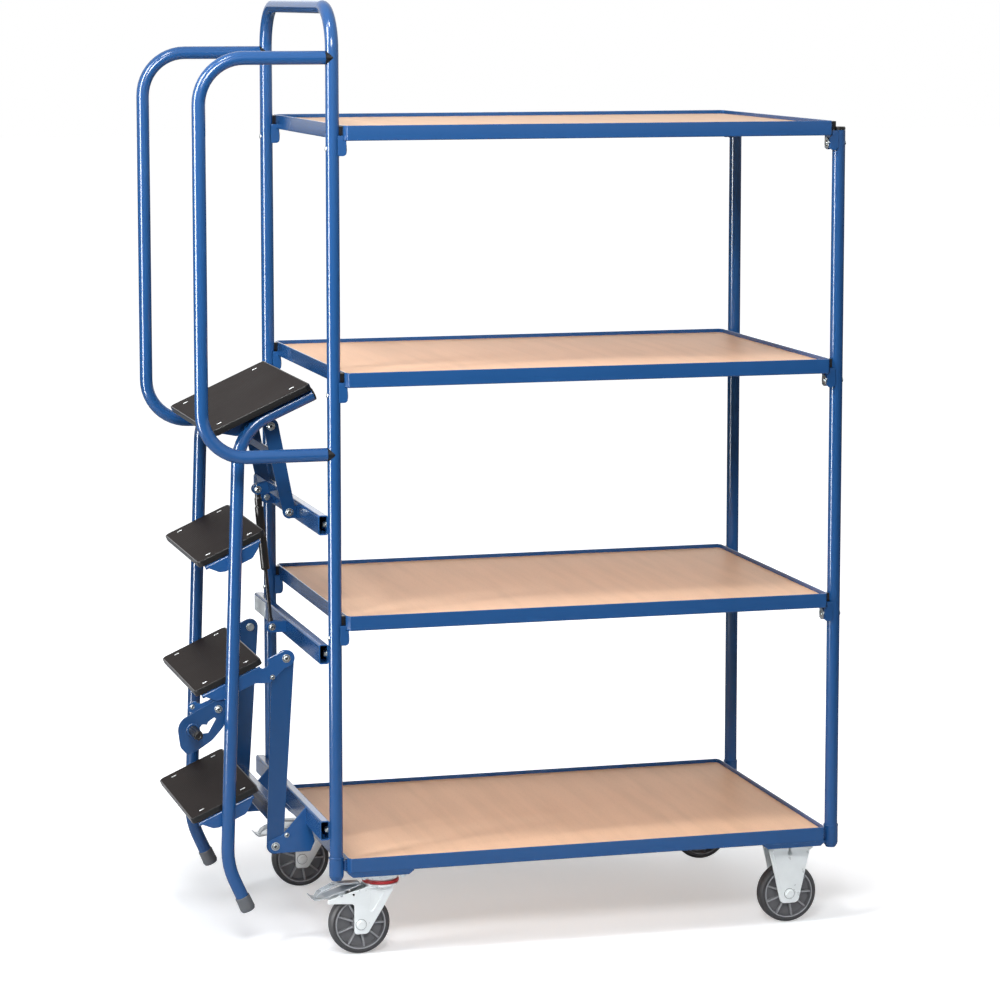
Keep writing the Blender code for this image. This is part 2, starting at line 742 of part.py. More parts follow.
def deck_frame():
    frame = shelf_rim(DECK_TOP)
    for end in (-1, 1):
        for side in (-1, 1):
            add(frame, castor_gusset(end, side), sleeve_web(end, side), post_sleeve(end, side))
    return frame


def build_shelves():
    finish(deck_frame(), "deck_frame", BLUE)
    finish(board(DECK_TOP), "deck_board", BEECH)
    for number, top in enumerate(reversed(SHELF_TOPS), start=1):
        finish(shelf_frame(top), f"shelf_frame_{number}", BLUE)
        finish(board(top), f"shelf_board_{number}", BEECH)


# Hoop, posts and guard rails

def build_posts():
    top = HOOP_TOP - TUBE_RADIUS
    hoop = tube((((HOOP_X, -POST_Y, POST_FOOT), 0), ((HOOP_X, -POST_Y, top), HOOP_BEND),
                 ((HOOP_X, POST_Y, top), HOOP_BEND), ((HOOP_X, POST_Y, POST_FOOT), 0)))
    finish(hoop, "end_hoop", BLUE)
    for word, side in SIDES:
        place = (PLAIN_X, side * POST_Y)
        finish(rod((*place, POST_FOOT), (*place, POST_TOP), TUBE_RADIUS), f"post_{word}", BLUE)
        low = POST_TOP + SEAT_GAP
        profile = ((0, low + CAP_HEIGHT), (TUBE_RADIUS - CAP_RIM, low + CAP_HEIGHT),
                   (TUBE_RADIUS, low + CAP_HEIGHT - CAP_RIM), (TUBE_RADIUS, low), (0, low))
        finish(lay(turned(profile, False), (*place, 0)), f"post_cap_{word}", BLACK)


def guard_pad(side, height):
    """A plug in a guard rail's end, hollowed to sit on the round post."""
    inner = HOOP_X - TUBE_RADIUS - GUARD_PAD_WEB + SEAT_GAP
    plug = rod((inner, side * POST_Y, height), (HOOP_X, side * POST_Y, height), TUBE_RADIUS)
    run = TUBE_RADIUS + CUT_OVERRUN
    seat = rod((HOOP_X, side * POST_Y, height - run), (HOOP_X, side * POST_Y, height + run),
               TUBE_RADIUS + SEAT_GAP)
    trim = box((HOOP_X - MERGE, side * POST_Y - run, height - run),
               (HOOP_X + CUT_OVERRUN, side * POST_Y + run, height + run))
    return cut(plug, seat, trim)


def build_guards():
    start = HOOP_X - TUBE_RADIUS - GUARD_PAD_WEB
    out = HOOP_X - GUARD_REACH
    for word, side in SIDES:
        y = side * POST_Y
        rail = tube((((start, y, GUARD_LOW), 0), ((out, y, GUARD_LOW), GUARD_BEND),
                     ((out, y, GUARD_HIGH), GUARD_BEND), ((start, y, GUARD_HIGH), 0)))
        finish(rail, f"guard_rail_{word}", BLUE)
        finish(guard_pad(side, GUARD_LOW), f"guard_pad_{word}_lower", BLACK)
        finish(guard_pad(side, GUARD_HIGH), f"guard_pad_{word}_upper", BLACK)


# Cross rails with the fixed pivots of the linkage

def cross_rail(height):
    half = RAIL_HEIGHT / 2
    rail = box((RAIL_OUTER_X, -RAIL_HALF_LENGTH, height - half),
               (RAIL_INNER_X, RAIL_HALF_LENGTH, height + half))
    reach = RAIL_HALF_LENGTH + CUT_OVERRUN
    bore = box((RAIL_OUTER_X + RAIL_WALL, -reach, height - half + RAIL_WALL),
               (RAIL_INNER_X - RAIL_WALL, reach, height + half - RAIL_WALL))
    return cut(rail, bore)


def eye_plate(pivot_x, pivot_z, radius, root_x, root_low, root_high, spread):
    """A plate with a round eye that widens to a straight root edge on the right."""
    outline = ((root_x, root_low, 0), (root_x, root_high, 0),
               (pivot_x - radius, pivot_z + radius, radius - MERGE),
               (pivot_x - radius, pivot_z - radius, radius - MERGE))
    return plate(outline, *spread)


def upper_cross_rail():
    rail = cross_rail(UPPER_RAIL_HEIGHT)
    x = HOOP_X - ARM_FOOT_OUT
    root = RAIL_OUTER_X + WELD_OVERLAP
    for _, side in SIDES:
        ear = eye_plate(x, ARM_FOOT_HEIGHT, ARM_FOOT_RADIUS, root, ARM_FOOT_HEIGHT - ARM_FOOT_RADIUS,
                        ARM_FOOT_HEIGHT + ARM_FOOT_RADIUS, span(side, EAR_INNER_Y, EAR_OUTER_Y))
        bolt = hinge_bolt(x, ARM_FOOT_HEIGHT, side * (EAR_INNER_Y + WELD_OVERLAP),
                          side * (ARM_OUTER_Y + SEAT_GAP), side)
        add(rail, ear, bolt)
    return rail


def middle_cross_rail():
    rail = cross_rail(MIDDLE_RAIL_HEIGHT)
    x = HOOP_X - GAS_FOOT_OUT
    root = RAIL_OUTER_X + WELD_OVERLAP
    for _, side in SIDES:
        ear = eye_plate(x, GAS_FOOT_HEIGHT, GAS_EAR_RADIUS, root, GAS_FOOT_HEIGHT - GAS_EAR_RADIUS,
                        GAS_FOOT_HEIGHT + GAS_EAR_RADIUS, span(side, CHEEK_INNER_Y, CHEEK_OUTER_Y))
        add(rail, ear)
    reach = CHEEK_OUTER_Y - WELD_OVERLAP
    pin = hinge_bolt(x, GAS_FOOT_HEIGHT, reach, -reach, -1, GAS_PIN_RADIUS)
    return add(rail, pin)


def lower_cross_rail():
    rail = cross_rail(LOWER_RAIL_HEIGHT)
    x = HOOP_X - LINK_FOOT_OUT
    z = LINK_FOOT_HEIGHT
    low = z - FOOT_BRACKET_RADIUS
    rail_low = LOWER_RAIL_HEIGHT - RAIL_HEIGHT / 2
    radius = FOOT_BRACKET_RADIUS
    outline = ((x - radius, low, radius - MERGE), (x - radius, z + FOOT_BRACKET_RISE, radius / 2),
               (x + radius, z + FOOT_STOP_RISE, radius), (RAIL_OUTER_X, rail_low + RAIL_HEIGHT, 0),
               (RAIL_OUTER_X + WELD_OVERLAP, rail_low + RAIL_HEIGHT - WELD_OVERLAP, 0),
               (RAIL_OUTER_X + WELD_OVERLAP, rail_low + WELD_OVERLAP, 0),
               (RAIL_OUTER_X + RAIL_DEPTH / 2, rail_low + WELD_OVERLAP, 0),
               (RAIL_OUTER_X + FOOT_BRACKET_UNDER, z + FOOT_BRACKET_RISE / 2, radius / 2),
               (RAIL_OUTER_X + FOOT_BRACKET_UNDER / 2, low, radius * SLIGHT_ROUND_SHARE))
    inner = LINK_OUTER_Y + SEAT_GAP
    outer = inner + PLATE
    for _, side in SIDES:
        bracket = plate(outline, *span(side, inner, outer))
        bolt = hinge_bolt(x, z, side * (LINK_INNER_Y - WELD_OVERLAP), side * (outer - WELD_OVERLAP), side)
        stop = rod((x + FOOT_STOP_OUT, side * (inner + WELD_OVERLAP), z + FOOT_STOP_RISE),
                   (x + FOOT_STOP_OUT, side * (outer + BOLT_HEAD), z + FOOT_STOP_RISE),
                   STOP_BOLT_RADIUS, BOLT_STEPS)
        add(rail, bracket, bolt, stop)
    return rail


def build_rails():
    finish(upper_cross_rail(), "upper_cross_rail", BLUE)
    finish(middle_cross_rail(), "middle_cross_rail", BLUE)
    finish(lower_cross_rail(), "lower_cross_rail", BLUE)


# Linkage and gas spring

def tilt_of(foot_out, foot_height, head_out, head_height):
    """Length and tilt about Y of a bar from its foot pivot to its head pivot."""
    across = foot_out - head_out
    rise = head_height - foot_height
    return math.hypot(across, rise), math.atan2(across, rise)


def build_lower_link():
    length, tilt = tilt_of(LINK_FOOT_OUT, LINK_FOOT_HEIGHT, LINK_HEAD_OUT, LINK_HEAD_HEIGHT)
    pivot = pivot_at("lower_link_pivot", (HOOP_X - LINK_FOOT_OUT, 0, LINK_FOOT_HEIGHT), (0, tilt, 0))
    side_x = LINK_SIDE
    outline = ((-side_x, -side_x, side_x - MERGE), (side_x, -side_x, side_x - MERGE),
               (side_x, length + side_x, side_x - MERGE), (-side_x, length + side_x, side_x - MERGE),
               (-LINK_SHOULDER, length - LINK_SHOULDER_DROP, LINK_SHOULDER))
    holes = (ring_of(0, 0, BOLT_RADIUS + PIN_CLEARANCE), ring_of(0, length, BOLT_RADIUS + PIN_CLEARANCE))
    near = plate(outline, *span(-1, LINK_INNER_Y, LINK_OUTER_Y), holes)
    far = plate(outline, *span(1, LINK_INNER_Y, LINK_OUTER_Y), holes)
    left = -side_x + LINK_CHANNEL_WALL / 2
    right = left + LINK_CHANNEL_DEPTH
    back = right - LINK_CHANNEL_WALL
    low, high = LINK_CHANNEL_LOW, LINK_CHANNEL_HIGH
    wall = LINK_CHANNEL_WALL
    channel = plate(((left, low, 0), (right, low, 0), (right, high, 0), (left, high, 0),
                     (left, high - wall, 0), (back, high - wall, 0), (back, low + wall, 0),
                     (left, low + wall, 0)),
                    -LINK_INNER_Y - WELD_OVERLAP, LINK_INNER_Y + WELD_OVERLAP)
    finish(add(near, channel, far), "lower_link", BLUE, pivot)


def build_upper_link():
    length, tilt = tilt_of(ARM_FOOT_OUT, ARM_FOOT_HEIGHT, ARM_HEAD_OUT, ARM_HEAD_HEIGHT)
    pivot = pivot_at("upper_link_pivot", (HOOP_X - ARM_FOOT_OUT, 0, ARM_FOOT_HEIGHT), (0, tilt, 0))
    foot, head = ARM_FOOT_RADIUS, ARM_HEAD_RADIUS
    outline = ((-foot, -foot, foot - MERGE), (foot, -foot, foot - MERGE),
               (head, length + head, head - MERGE), (-head, length + head, head - MERGE))
    hole = (ring_of(0, 0, BOLT_RADIUS + PIN_CLEARANCE),)
    arms = [plate(outline, *span(side, ARM_INNER_Y, ARM_OUTER_Y), hole) for _, side in SIDES]
    reach = ARM_INNER_Y + WELD_OVERLAP
    strip_left = -foot
    strip_right = strip_left + STRIP_THICKNESS
    head_low = length * HEAD_STRIP_SHARE
    head_strip = box((strip_left, -reach, head_low), (strip_right, reach, head_low + HEAD_STRIP_HEIGHT))
    gas_x, gas_z = place_on_bar(GAS_HEAD_OUT, GAS_HEAD_HEIGHT, ARM_FOOT_OUT, ARM_FOOT_HEIGHT, tilt)
    lug_low = gas_z - LUG_STRIP_HEIGHT / 2
    lug_strip = box((strip_left, -reach, lug_low), (strip_right, reach, lug_low + LUG_STRIP_HEIGHT))
    pieces = [arms[1], head_strip, lug_strip]
    for _, side in SIDES:
        cheek = eye_plate(gas_x, gas_z, LUG_RADIUS, strip_left + WELD_OVERLAP, gas_z - LUG_RADIUS,
                          gas_z + LUG_RADIUS, span(side, CHEEK_INNER_Y, CHEEK_OUTER_Y))
        stud = rod((gas_x, side * (CHEEK_OUTER_Y - WELD_OVERLAP), gas_z),
                   (gas_x, side * (CHEEK_OUTER_Y + BOLT_HEAD), gas_z), BOLT_HEAD_RADIUS, BOLT_STEPS)
        bolt = rod((0, side * (ARM_OUTER_Y - WELD_OVERLAP), length),
                   (0, side * (ARM_OUTER_Y + BOLT_HEAD), length), BOLT_HEAD_RADIUS, BOLT_STEPS)
        pieces += [cheek, stud, bolt]
    finish(add(arms[0], *pieces), "upper_link", BLUE, pivot)


def place_on_bar(out, height, foot_out, foot_height, tilt):
    """A point on the trolley in the frame of a bar that stands on its foot pivot."""
    across = foot_out - out
    rise = height - foot_height
    return (across * math.cos(tilt) - rise * math.sin(tilt),
            across * math.sin(tilt) + rise * math.cos(tilt))


def build_gas_spring():
    length, tilt = tilt_of(GAS_FOOT_OUT, GAS_FOOT_HEIGHT, GAS_HEAD_OUT, GAS_HEAD_HEIGHT)
    pivot = pivot_at("gas_spring_pivot", (HOOP_X - GAS_FOOT_OUT, 0, GAS_FOOT_HEIGHT), (0, tilt, 0))
    half = GAS_EYE_THICKNESS / 2
    cylinder_top = length - GAS_HEAD_NECK
    cylinder_low = cylinder_top - GAS_CYLINDER_LENGTH
    hole = (ring_of(0, 0, GAS_PIN_RADIUS + PIN_CLEARANCE),)
    foot_eye = plate(ring_of(0, 0, GAS_EYE_RADIUS), -half, half, hole)
    stem = rod((0, 0, GAS_PIN_RADIUS + 2 * WELD_OVERLAP), (0, 0, cylinder_low + GAS_ROD_HIDDEN),
               GAS_ROD_RADIUS)
    finish(add(foot_eye, stem), "gas_spring_rod", ZINC, pivot)
    bore = GAS_ROD_RADIUS + PIN_CLEARANCE
    bore_top = cylinder_top - GAS_BORE_END
    shell = turned(((0, length), (GAS_NECK_RADIUS, length), (GAS_NECK_RADIUS, cylinder_top),
                    (GAS_CYLINDER_RADIUS, cylinder_top - GAS_NECK_RADIUS),
                    (GAS_CYLINDER_RADIUS, cylinder_low), (bore, cylinder_low), (bore, bore_top),
                    (0, bore_top)), False)
    head_eye = plate(ring_of(0, length, GAS_EYE_RADIUS), -half, half)
    finish(add(shell, head_eye), "gas_spring_cylinder", BLACK, pivot)


# Step ladder, in its own frame with level treads

def support_flange(x_outer, depth, base):
    """The side flange of a tread support: deep under the stile, thin at both ends."""
    points = []
    for along, down in SUPPORT_OUTLINE_SHARES:
        corner = 0.0 if down == 0 else SUPPORT_ROUND
        height = base - WELD_OVERLAP - down * (SUPPORT_DROP - WELD_OVERLAP)
        points.append((x_outer + along * depth, height, corner))
    return points


def support_base(x_outer, depth, base):
    first = x_outer + SUPPORT_OUTLINE_SHARES[0][0] * depth - WELD_OVERLAP
    last = x_outer + SUPPORT_OUTLINE_SHARES[-1][0] * depth + WELD_OVERLAP
    return box((first, -SUPPORT_HALF_WIDTH + SEAT_GAP, base - SUPPORT_SHEET),
               (last, SUPPORT_HALF_WIDTH - SEAT_GAP, base))


def flange_span(side):
    return span(side, SUPPORT_HALF_WIDTH - SUPPORT_SHEET, SUPPORT_HALF_WIDTH)


def plain_support(x_outer, depth, base):
    support = support_base(x_outer, depth, base)
    outline = support_flange(x_outer, depth, base)
    for _, side in SIDES:
        add(support, plate(outline, *flange_span(side)))
    return support


def arm_outline(x_outer, base):
    """The middle support's flange, which runs on to an eye round the head pivot."""
    start = support_flange(x_outer, TREAD_DEPTH, base)[:3]
    low = base - SUPPORT_DROP
    eye = EYE_RADIUS
    return (*start,
            (-ARM_BULGE_START_X, low, SUPPORT_ROUND),
            (-ARM_BULGE_X, -ARM_BULGE_DEPTH, SUPPORT_ROUND),
            (-eye * ARM_HEEL_SHARE, -eye, SUPPORT_ROUND / 2),
            (eye, -eye, eye - MERGE),
            (eye, eye, eye - MERGE),
            (-ARM_STEP_X, eye, SUPPORT_ROUND / 2),
            (-ARM_STEP_X, ARM_NOTCH_RISE, SUPPORT_ROUND / 2),
            (-ARM_NOTCH_X, ARM_NOTCH_RISE, SUPPORT_ROUND / 2),
            (-ARM_NOTCH_X - WELD_OVERLAP, base - WELD_OVERLAP, 0))


def middle_support(x_outer, base):
    support = support_base(x_outer, TREAD_DEPTH, base)
    outer = SUPPORT_HALF_WIDTH
    for _, side in SIDES:
        flange = plate(arm_outline(x_outer, base), *flange_span(side))
        bolt = hinge_bolt(0, 0, side * (LINK_INNER_Y - WELD_OVERLAP), side * (outer - WELD_OVERLAP), side)
        stop = rod((-ARM_STOP_X, side * (outer - WELD_OVERLAP), -ARM_STOP_DEPTH),
                   (-ARM_STOP_X, side * (outer + BOLT_HEAD), -ARM_STOP_DEPTH), STOP_BOLT_RADIUS,
                   BOLT_STEPS)
        add(support, flange, bolt, stop)
    latch_outer = SUPPORT_HALF_WIDTH - SUPPORT_SHEET
    lug_outer = latch_outer - LATCH_SHEET - SEAT_GAP
    lug_top = LUG_PLATE_TOP
    lug_low = lug_top - LUG_PLATE_HEIGHT
    end = LUG_PLATE_HEIGHT / 2 - MERGE
    right = LATCH_X + LUG_STEM_OUT
    lug = plate(((LATCH_X - LUG_PLATE_OUT, lug_low, end), (LATCH_X, LATCH_Z - BOLT_HEAD_RADIUS, end),
                 (right, LATCH_Z - BOLT_HEAD_RADIUS, end), (right, base - WELD_OVERLAP, 0),
                 (LATCH_X, base - WELD_OVERLAP, 0), (LATCH_X, lug_top, 0),
                 (LATCH_X - LUG_PLATE_OUT, lug_top, end)),
                *span(-1, lug_outer - PLATE, lug_outer))
    pin = hinge_bolt(LATCH_X, LATCH_Z, -lug_outer + WELD_OVERLAP, -latch_outer, -1)
    stop_x = LATCH_X - LUG_PLATE_OUT + LUG_PLATE_HEIGHT / 2
    stop_z = lug_top - LUG_PLATE_HEIGHT / 2
    stop = rod((stop_x, -lug_outer + WELD_OVERLAP, stop_z),
               (stop_x, -lug_outer - BOLT_HEAD, stop_z), STOP_BOLT_RADIUS, BOLT_STEPS)
    return add(support, lug, pin, stop)


def build_latch(ladder):
    pivot = pivot_at("latch_pivot", (LATCH_X, 0, LATCH_Z), (0, 0, 0), ladder)
    outer = SUPPORT_HALF_WIDTH - SUPPORT_SHEET - SEAT_GAP
    inner = outer - LATCH_SHEET + SEAT_GAP
    reach = LATCH_REACH
    outline = tuple((x * reach, z * reach, bend * reach) for x, z, bend in LATCH_OUTLINE_SHARES)
    slot = tuple((x * reach, z * reach, bend * reach) for x, z, bend in LATCH_SLOT_SHARES)
    holes = (slot, ring_of(0, 0, BOLT_RADIUS + PIN_CLEARANCE))
    body = plate(outline, *span(-1, inner, outer), holes)
    grip_x = GRIP_X_SHARE * reach
    grip_z = GRIP_Z_SHARE * reach
    boss_end = outer + GRIP_BOSS_LENGTH
    boss = rod((grip_x, -outer + WELD_OVERLAP, grip_z), (grip_x, -boss_end, grip_z), GRIP_BOSS_RADIUS)
    finish(add(body, boss), "latch_plate", BLUE, pivot)
    grip_start = -boss_end - SEAT_GAP
    grip = turned(((0, 0), (GRIP_RADIUS - CAP_RIM, 0), (GRIP_RADIUS, -CAP_RIM),
                   (GRIP_RADIUS, -GRIP_LENGTH), (0, -GRIP_LENGTH)), False)
    lay(grip, (grip_x, grip_start - GRIP_LENGTH, grip_z), "Y")
    grip.rotation_euler = (math.radians(90), 0, 0)
    finish(grip, "latch_grip", BLACK, pivot)


def build_treads(ladder):
    middle_outer = MIDDLE_TREAD_CENTRE - TREAD_DEPTH / 2
    half = SUPPORT_HALF_WIDTH
    for number in (1, 2, 3):
        step = number - 2
        top = MIDDLE_TREAD_TOP + step * TREAD_RISE
        outer = middle_outer + step * TREAD_GOING
        low = top - TREAD_THICKNESS
        board_shape = slab(rectangle(outer, outer + TREAD_DEPTH, -half, half, TREAD_CORNER), low, top)
        finish(board_shape, f"tread_{number}", TREAD_FACE, ladder)
        base = low - SEAT_GAP
        support = middle_support(outer, base) if step == 0 else plain_support(outer, TREAD_DEPTH, base)
        finish(support, f"tread_support_{number}", BLUE, ladder)


def build_platform(ladder):
    low = STILE_TOP + TUBE_RADIUS + SEAT_GAP
    half = PLATFORM_HALF_WIDTH
    deck = slab(rectangle(PLATFORM_OUTER, PLATFORM_OUTER + PLATFORM_DEPTH, -half, half, TREAD_CORNER),
                low, low + PLATFORM_THICKNESS)
    finish(deck, "platform", TREAD_FACE, ladder)
    base = low - SEAT_GAP
    support = plain_support(PLATFORM_OUTER, PLATFORM_DEPTH, base)
    head_x, head_z = place_on_bar(ARM_HEAD_OUT, ARM_HEAD_HEIGHT, LINK_HEAD_OUT, LINK_HEAD_HEIGHT,
                                  -FOLD_TILT)
    radius = ARM_FOOT_RADIUS
    outline = ((head_x - radius, head_z - radius, radius - MERGE),
               (head_x + radius, head_z - radius, radius - MERGE),
               (head_x + radius, base - WELD_OVERLAP, 0), (head_x - radius, base - WELD_OVERLAP, 0))
    for _, side in SIDES:
        add(support, plate(outline, *span(side, EAR_INNER_Y, EAR_OUTER_Y)))
    finish(support, "platform_support", BLUE, ladder)


def build_stiles(ladder):
    foot_x = STILE_LINE_X - STILE_FOOT_BEND_DEPTH * math.tan(STILE_LEAN)
    tube_foot = -FOOT_BOTTOM + FERRULE_FLOOR + SEAT_GAP
    for word, side in SIDES:
        y = side * STILE_HALF_SPACING
        stile = tube((((foot_x, y, tube_foot), 0), ((foot_x, y, -STILE_FOOT_BEND_DEPTH), STILE_FOOT_BEND),
                      ((STILE_TOP_BEND_X, y, STILE_TOP), STILE_TOP_BEND),
                      ((STILE_TOP_END, y, STILE_TOP), 0)))
        finish(stile, f"stile_{word}", BLUE, ladder)
        bore = TUBE_RADIUS + SEAT_GAP
        bottom = -FOOT_BOTTOM
        rim = FERRULE_RADIUS - CAP_RIM / 2
        cup = turned(((0, bottom + FERRULE_FLOOR), (bore, bottom + FERRULE_FLOOR),
                      (bore, bottom + FERRULE_HEIGHT), (rim, bottom + FERRULE_HEIGHT),
                      (FERRULE_RADIUS, bottom + FERRULE_FLOOR), (rim, bottom), (0, bottom)), False)
        finish(lay(cup, (foot_x, y, 0)), f"foot_{word}", GREY_RUBBER, ladder)
        cap_start = STILE_TOP_END + SEAT_GAP
        cap = rod((cap_start, y, STILE_TOP), (cap_start + STILE_CAP, y, STILE_TOP), TUBE_RADIUS)
        finish(cap, f"stile_cap_{word}", BLACK, ladder)


def build_ladder():
    place = (HOOP_X - LINK_HEAD_OUT, 0, LINK_HEAD_HEIGHT)
    ladder = pivot_at("ladder_pivot", place, (0, -FOLD_TILT, 0))
    build_stiles(ladder)
    build_treads(ladder)
    build_platform(ladder)
    build_latch(ladder)


# Castors, each in a frame whose origin is on the floor

def castor_top_plate(top):
    half_length = CASTOR_PLATE_LENGTH / 2
    half_width = CASTOR_PLATE_WIDTH / 2
    return slab(rectangle(-half_length, half_length, -half_width, half_width, RIM_CORNER),
                top - CASTOR_PLATE, top)


def axle(x):
    end = FORK_INNER + FORK_SHEET
    bar = rod((x, -end - AXLE_HEAD, WHEEL_RADIUS), (x, end + AXLE_HEAD, WHEEL_RADIUS), AXLE_RADIUS)
    for _, side in SIDES:
        add(bar, rod((x, side * (end - SEAT_GAP), WHEEL_RADIUS),
                     (x, side * (end + AXLE_HEAD), WHEEL_RADIUS), AXLE_HEAD_RADIUS, HEX_STEPS))
    return bar


def build_wheel(word, pivot):
    half = TYRE_WIDTH / 2
    crown = TYRE_CROWN
    tyre = turned(((TYRE_BORE, half), (WHEEL_RADIUS - crown, half), (WHEEL_RADIUS, half - crown),
                   (WHEEL_RADIUS, crown - half), (WHEEL_RADIUS - crown, -half),
                   (TYRE_BORE, -half)), True, TYRE_STEPS)
    finish(lay(tyre, (0, 0, 0), "Y"), f"tyre_{word}", TYRE_RUBBER, pivot)
    outer = TYRE_BORE - HUB_FIT
    inner = outer - HUB_RING_WALL
    wide = HUB_WIDTH / 2
    web = HUB_WEB / 2
    boss = HUB_BOSS_WIDTH / 2
    bore = AXLE_RADIUS + PIN_CLEARANCE
    hub = turned(((bore, boss), (HUB_BOSS_RADIUS, boss), (HUB_BOSS_RADIUS, web), (inner, web),
                  (inner, wide), (outer, wide), (outer, -wide), (inner, -wide), (inner, -web),
                  (HUB_BOSS_RADIUS, -web), (HUB_BOSS_RADIUS, -boss), (bore, -boss)), True, HUB_STEPS)
    rib_half = wide - HUB_RIB_RECESS
    for number in range(HUB_RIBS):
        turn = 2 * math.pi * number / HUB_RIBS + math.pi / HUB_STEPS
        rib = box((HUB_BOSS_RADIUS - WELD_OVERLAP, -HUB_RIB / 2, -rib_half),
                  (inner + WELD_OVERLAP, HUB_RIB / 2, rib_half))
        rib.data.transform(Matrix.Rotation(turn, 4, "Z"))
        add(hub, rib)
    lay(hub, (0, 0, 0), "Y")
    for rib in hub.children:
        rib.matrix_parent_inverse = Matrix.Identity(4)
    finish(hub, f"hub_{word}", HUB_PLASTIC, pivot)


def fixed_fork():
    fork = castor_top_plate(CASTOR_HEIGHT)
    top = CASTOR_HEIGHT - CASTOR_PLATE / 2
    toe = WHEEL_RADIUS - FORK_TOE_RADIUS
    outline = ((-FIXED_FORK_TOP_HALF, top, 0), (-FIXED_FORK_TOE_HALF, toe, FORK_TOE_RADIUS / 2),
               (FIXED_FORK_TOE_HALF, toe, FORK_TOE_RADIUS / 2), (FIXED_FORK_TOP_HALF, top, 0))
    for _, side in SIDES:
        add(fork, plate(outline, *span(side, FORK_INNER, FORK_INNER + FORK_SHEET)))
    return add(fork, axle(0))


def swivel_plate():
    plate_low = CASTOR_HEIGHT - CASTOR_PLATE
    race_low = plate_low - RACE_HEIGHT
    crown_top = race_low - SEAT_GAP
    crown_low = crown_top - CROWN_HEIGHT
    head_top = crown_low - SEAT_GAP
    head_low = head_top - KINGPIN_HEAD
    race = turned(((0, plate_low + WELD_OVERLAP), (RACE_RADIUS, plate_low + WELD_OVERLAP),
                   (RACE_RADIUS, race_low), (KINGPIN_RADIUS, race_low), (KINGPIN_RADIUS, head_top),
                   (KINGPIN_HEAD_RADIUS, head_top), (KINGPIN_HEAD_RADIUS, head_low), (0, head_low)),
                  False, RACE_STEPS)
    return add(castor_top_plate(CASTOR_HEIGHT), race)


def swivel_seal():
    top = CASTOR_HEIGHT - CASTOR_PLATE - SEAT_GAP
    bore = RACE_RADIUS + SEAT_GAP
    return turned(((bore, top), (SEAL_RADIUS, top), (SEAL_RADIUS, top - SEAL_HEIGHT),
                   (bore, top - SEAL_HEIGHT)), True, RACE_STEPS)


def swivel_fork():
    crown_top = CASTOR_HEIGHT - CASTOR_PLATE - RACE_HEIGHT - SEAT_GAP
    crown_low = crown_top - CROWN_HEIGHT
    bore = KINGPIN_RADIUS + PIN_CLEARANCE
    crown = turned(((bore, crown_top), (CROWN_RADIUS, crown_top), (CROWN_RADIUS, crown_low),
                    (bore, crown_low)), True, RACE_STEPS)
    top = crown_low + WELD_OVERLAP
    toe = WHEEL_RADIUS - FORK_TOE_RADIUS
    slight = FORK_TOE_RADIUS * SLIGHT_ROUND_SHARE
    toe_front = -SWIVEL_TRAIL - FORK_TOE_HALF
    toe_back = -SWIVEL_TRAIL + FORK_TOE_HALF
    outline = ((-FORK_ARM_X, FORK_ARM_HIGH, 0), (-FORK_ARM_X, FORK_ARM_TIP, 0),
               (toe_front, FORK_ARM_LOW, slight),
               (toe_front, toe, FORK_TOE_RADIUS * FORK_FRONT_ROUND_SHARE),
               (toe_back, toe, FORK_TOE_RADIUS / 2), (FORK_WAIST_X, FORK_WAIST_Z, FORK_TOE_RADIUS),
               (FORK_REAR_X, FORK_REAR_Z, slight), (FORK_REAR_X, top, 0),
               (-CROWN_RADIUS + FORK_NECK_INSET, top, 0), (-FORK_NECK_X, FORK_NECK_Z, 0),
               (-FORK_DIP_X, FORK_DIP_Z, 0))
    pin_hole = (ring_of(PEDAL_PIVOT_X, PEDAL_PIVOT_Z, PEDAL_PIN_RADIUS + PIN_CLEARANCE),)
    for _, side in SIDES:
        add(crown, plate(outline, *span(side, FORK_INNER, FORK_INNER + FORK_SHEET), pin_hole))
    return add(crown, axle(-SWIVEL_TRAIL))


def brake_pedal():
    """A bowed foot plate on two lugs, with stub pins in the fork's arms; origin on its pivot."""
    sheet = PEDAL_SHEET
    upper = ((PEDAL_TIP_X, PEDAL_TIP_Z), (PEDAL_KNEE_X, PEDAL_KNEE_Z), (PEDAL_CREST_X, PEDAL_CREST_Z),
             (PEDAL_INNER_X, PEDAL_INNER_Z))
    top = [(x - PEDAL_PIVOT_X, z - PEDAL_PIVOT_Z, 0.0) for x, z in upper]
    low = [(x, z - sheet, 0.0) for x, z, _ in reversed(top)]
    pedal = plate((*top, *low), -PEDAL_HALF_WIDTH, PEDAL_HALF_WIDTH)
    lug_outer = FORK_INNER - SEAT_GAP
    lug_inner = lug_outer - sheet
    radius = PEDAL_LUG_RADIUS
    lug_top = PEDAL_CREST_Z - PEDAL_PIVOT_Z - sheet / 2
    for _, side in SIDES:
        lug = plate(((-radius, -radius, radius - MERGE), (radius, -radius, radius - MERGE),
                     (radius, lug_top - sheet / 2, 0), (-radius, lug_top, 0)),
                    *span(side, lug_inner, lug_outer))
        pin = rod((0, side * (lug_inner + WELD_OVERLAP), 0),
                  (0, side * (FORK_INNER + FORK_SHEET), 0), PEDAL_PIN_RADIUS)
        add(pedal, lug, pin)
    return pedal


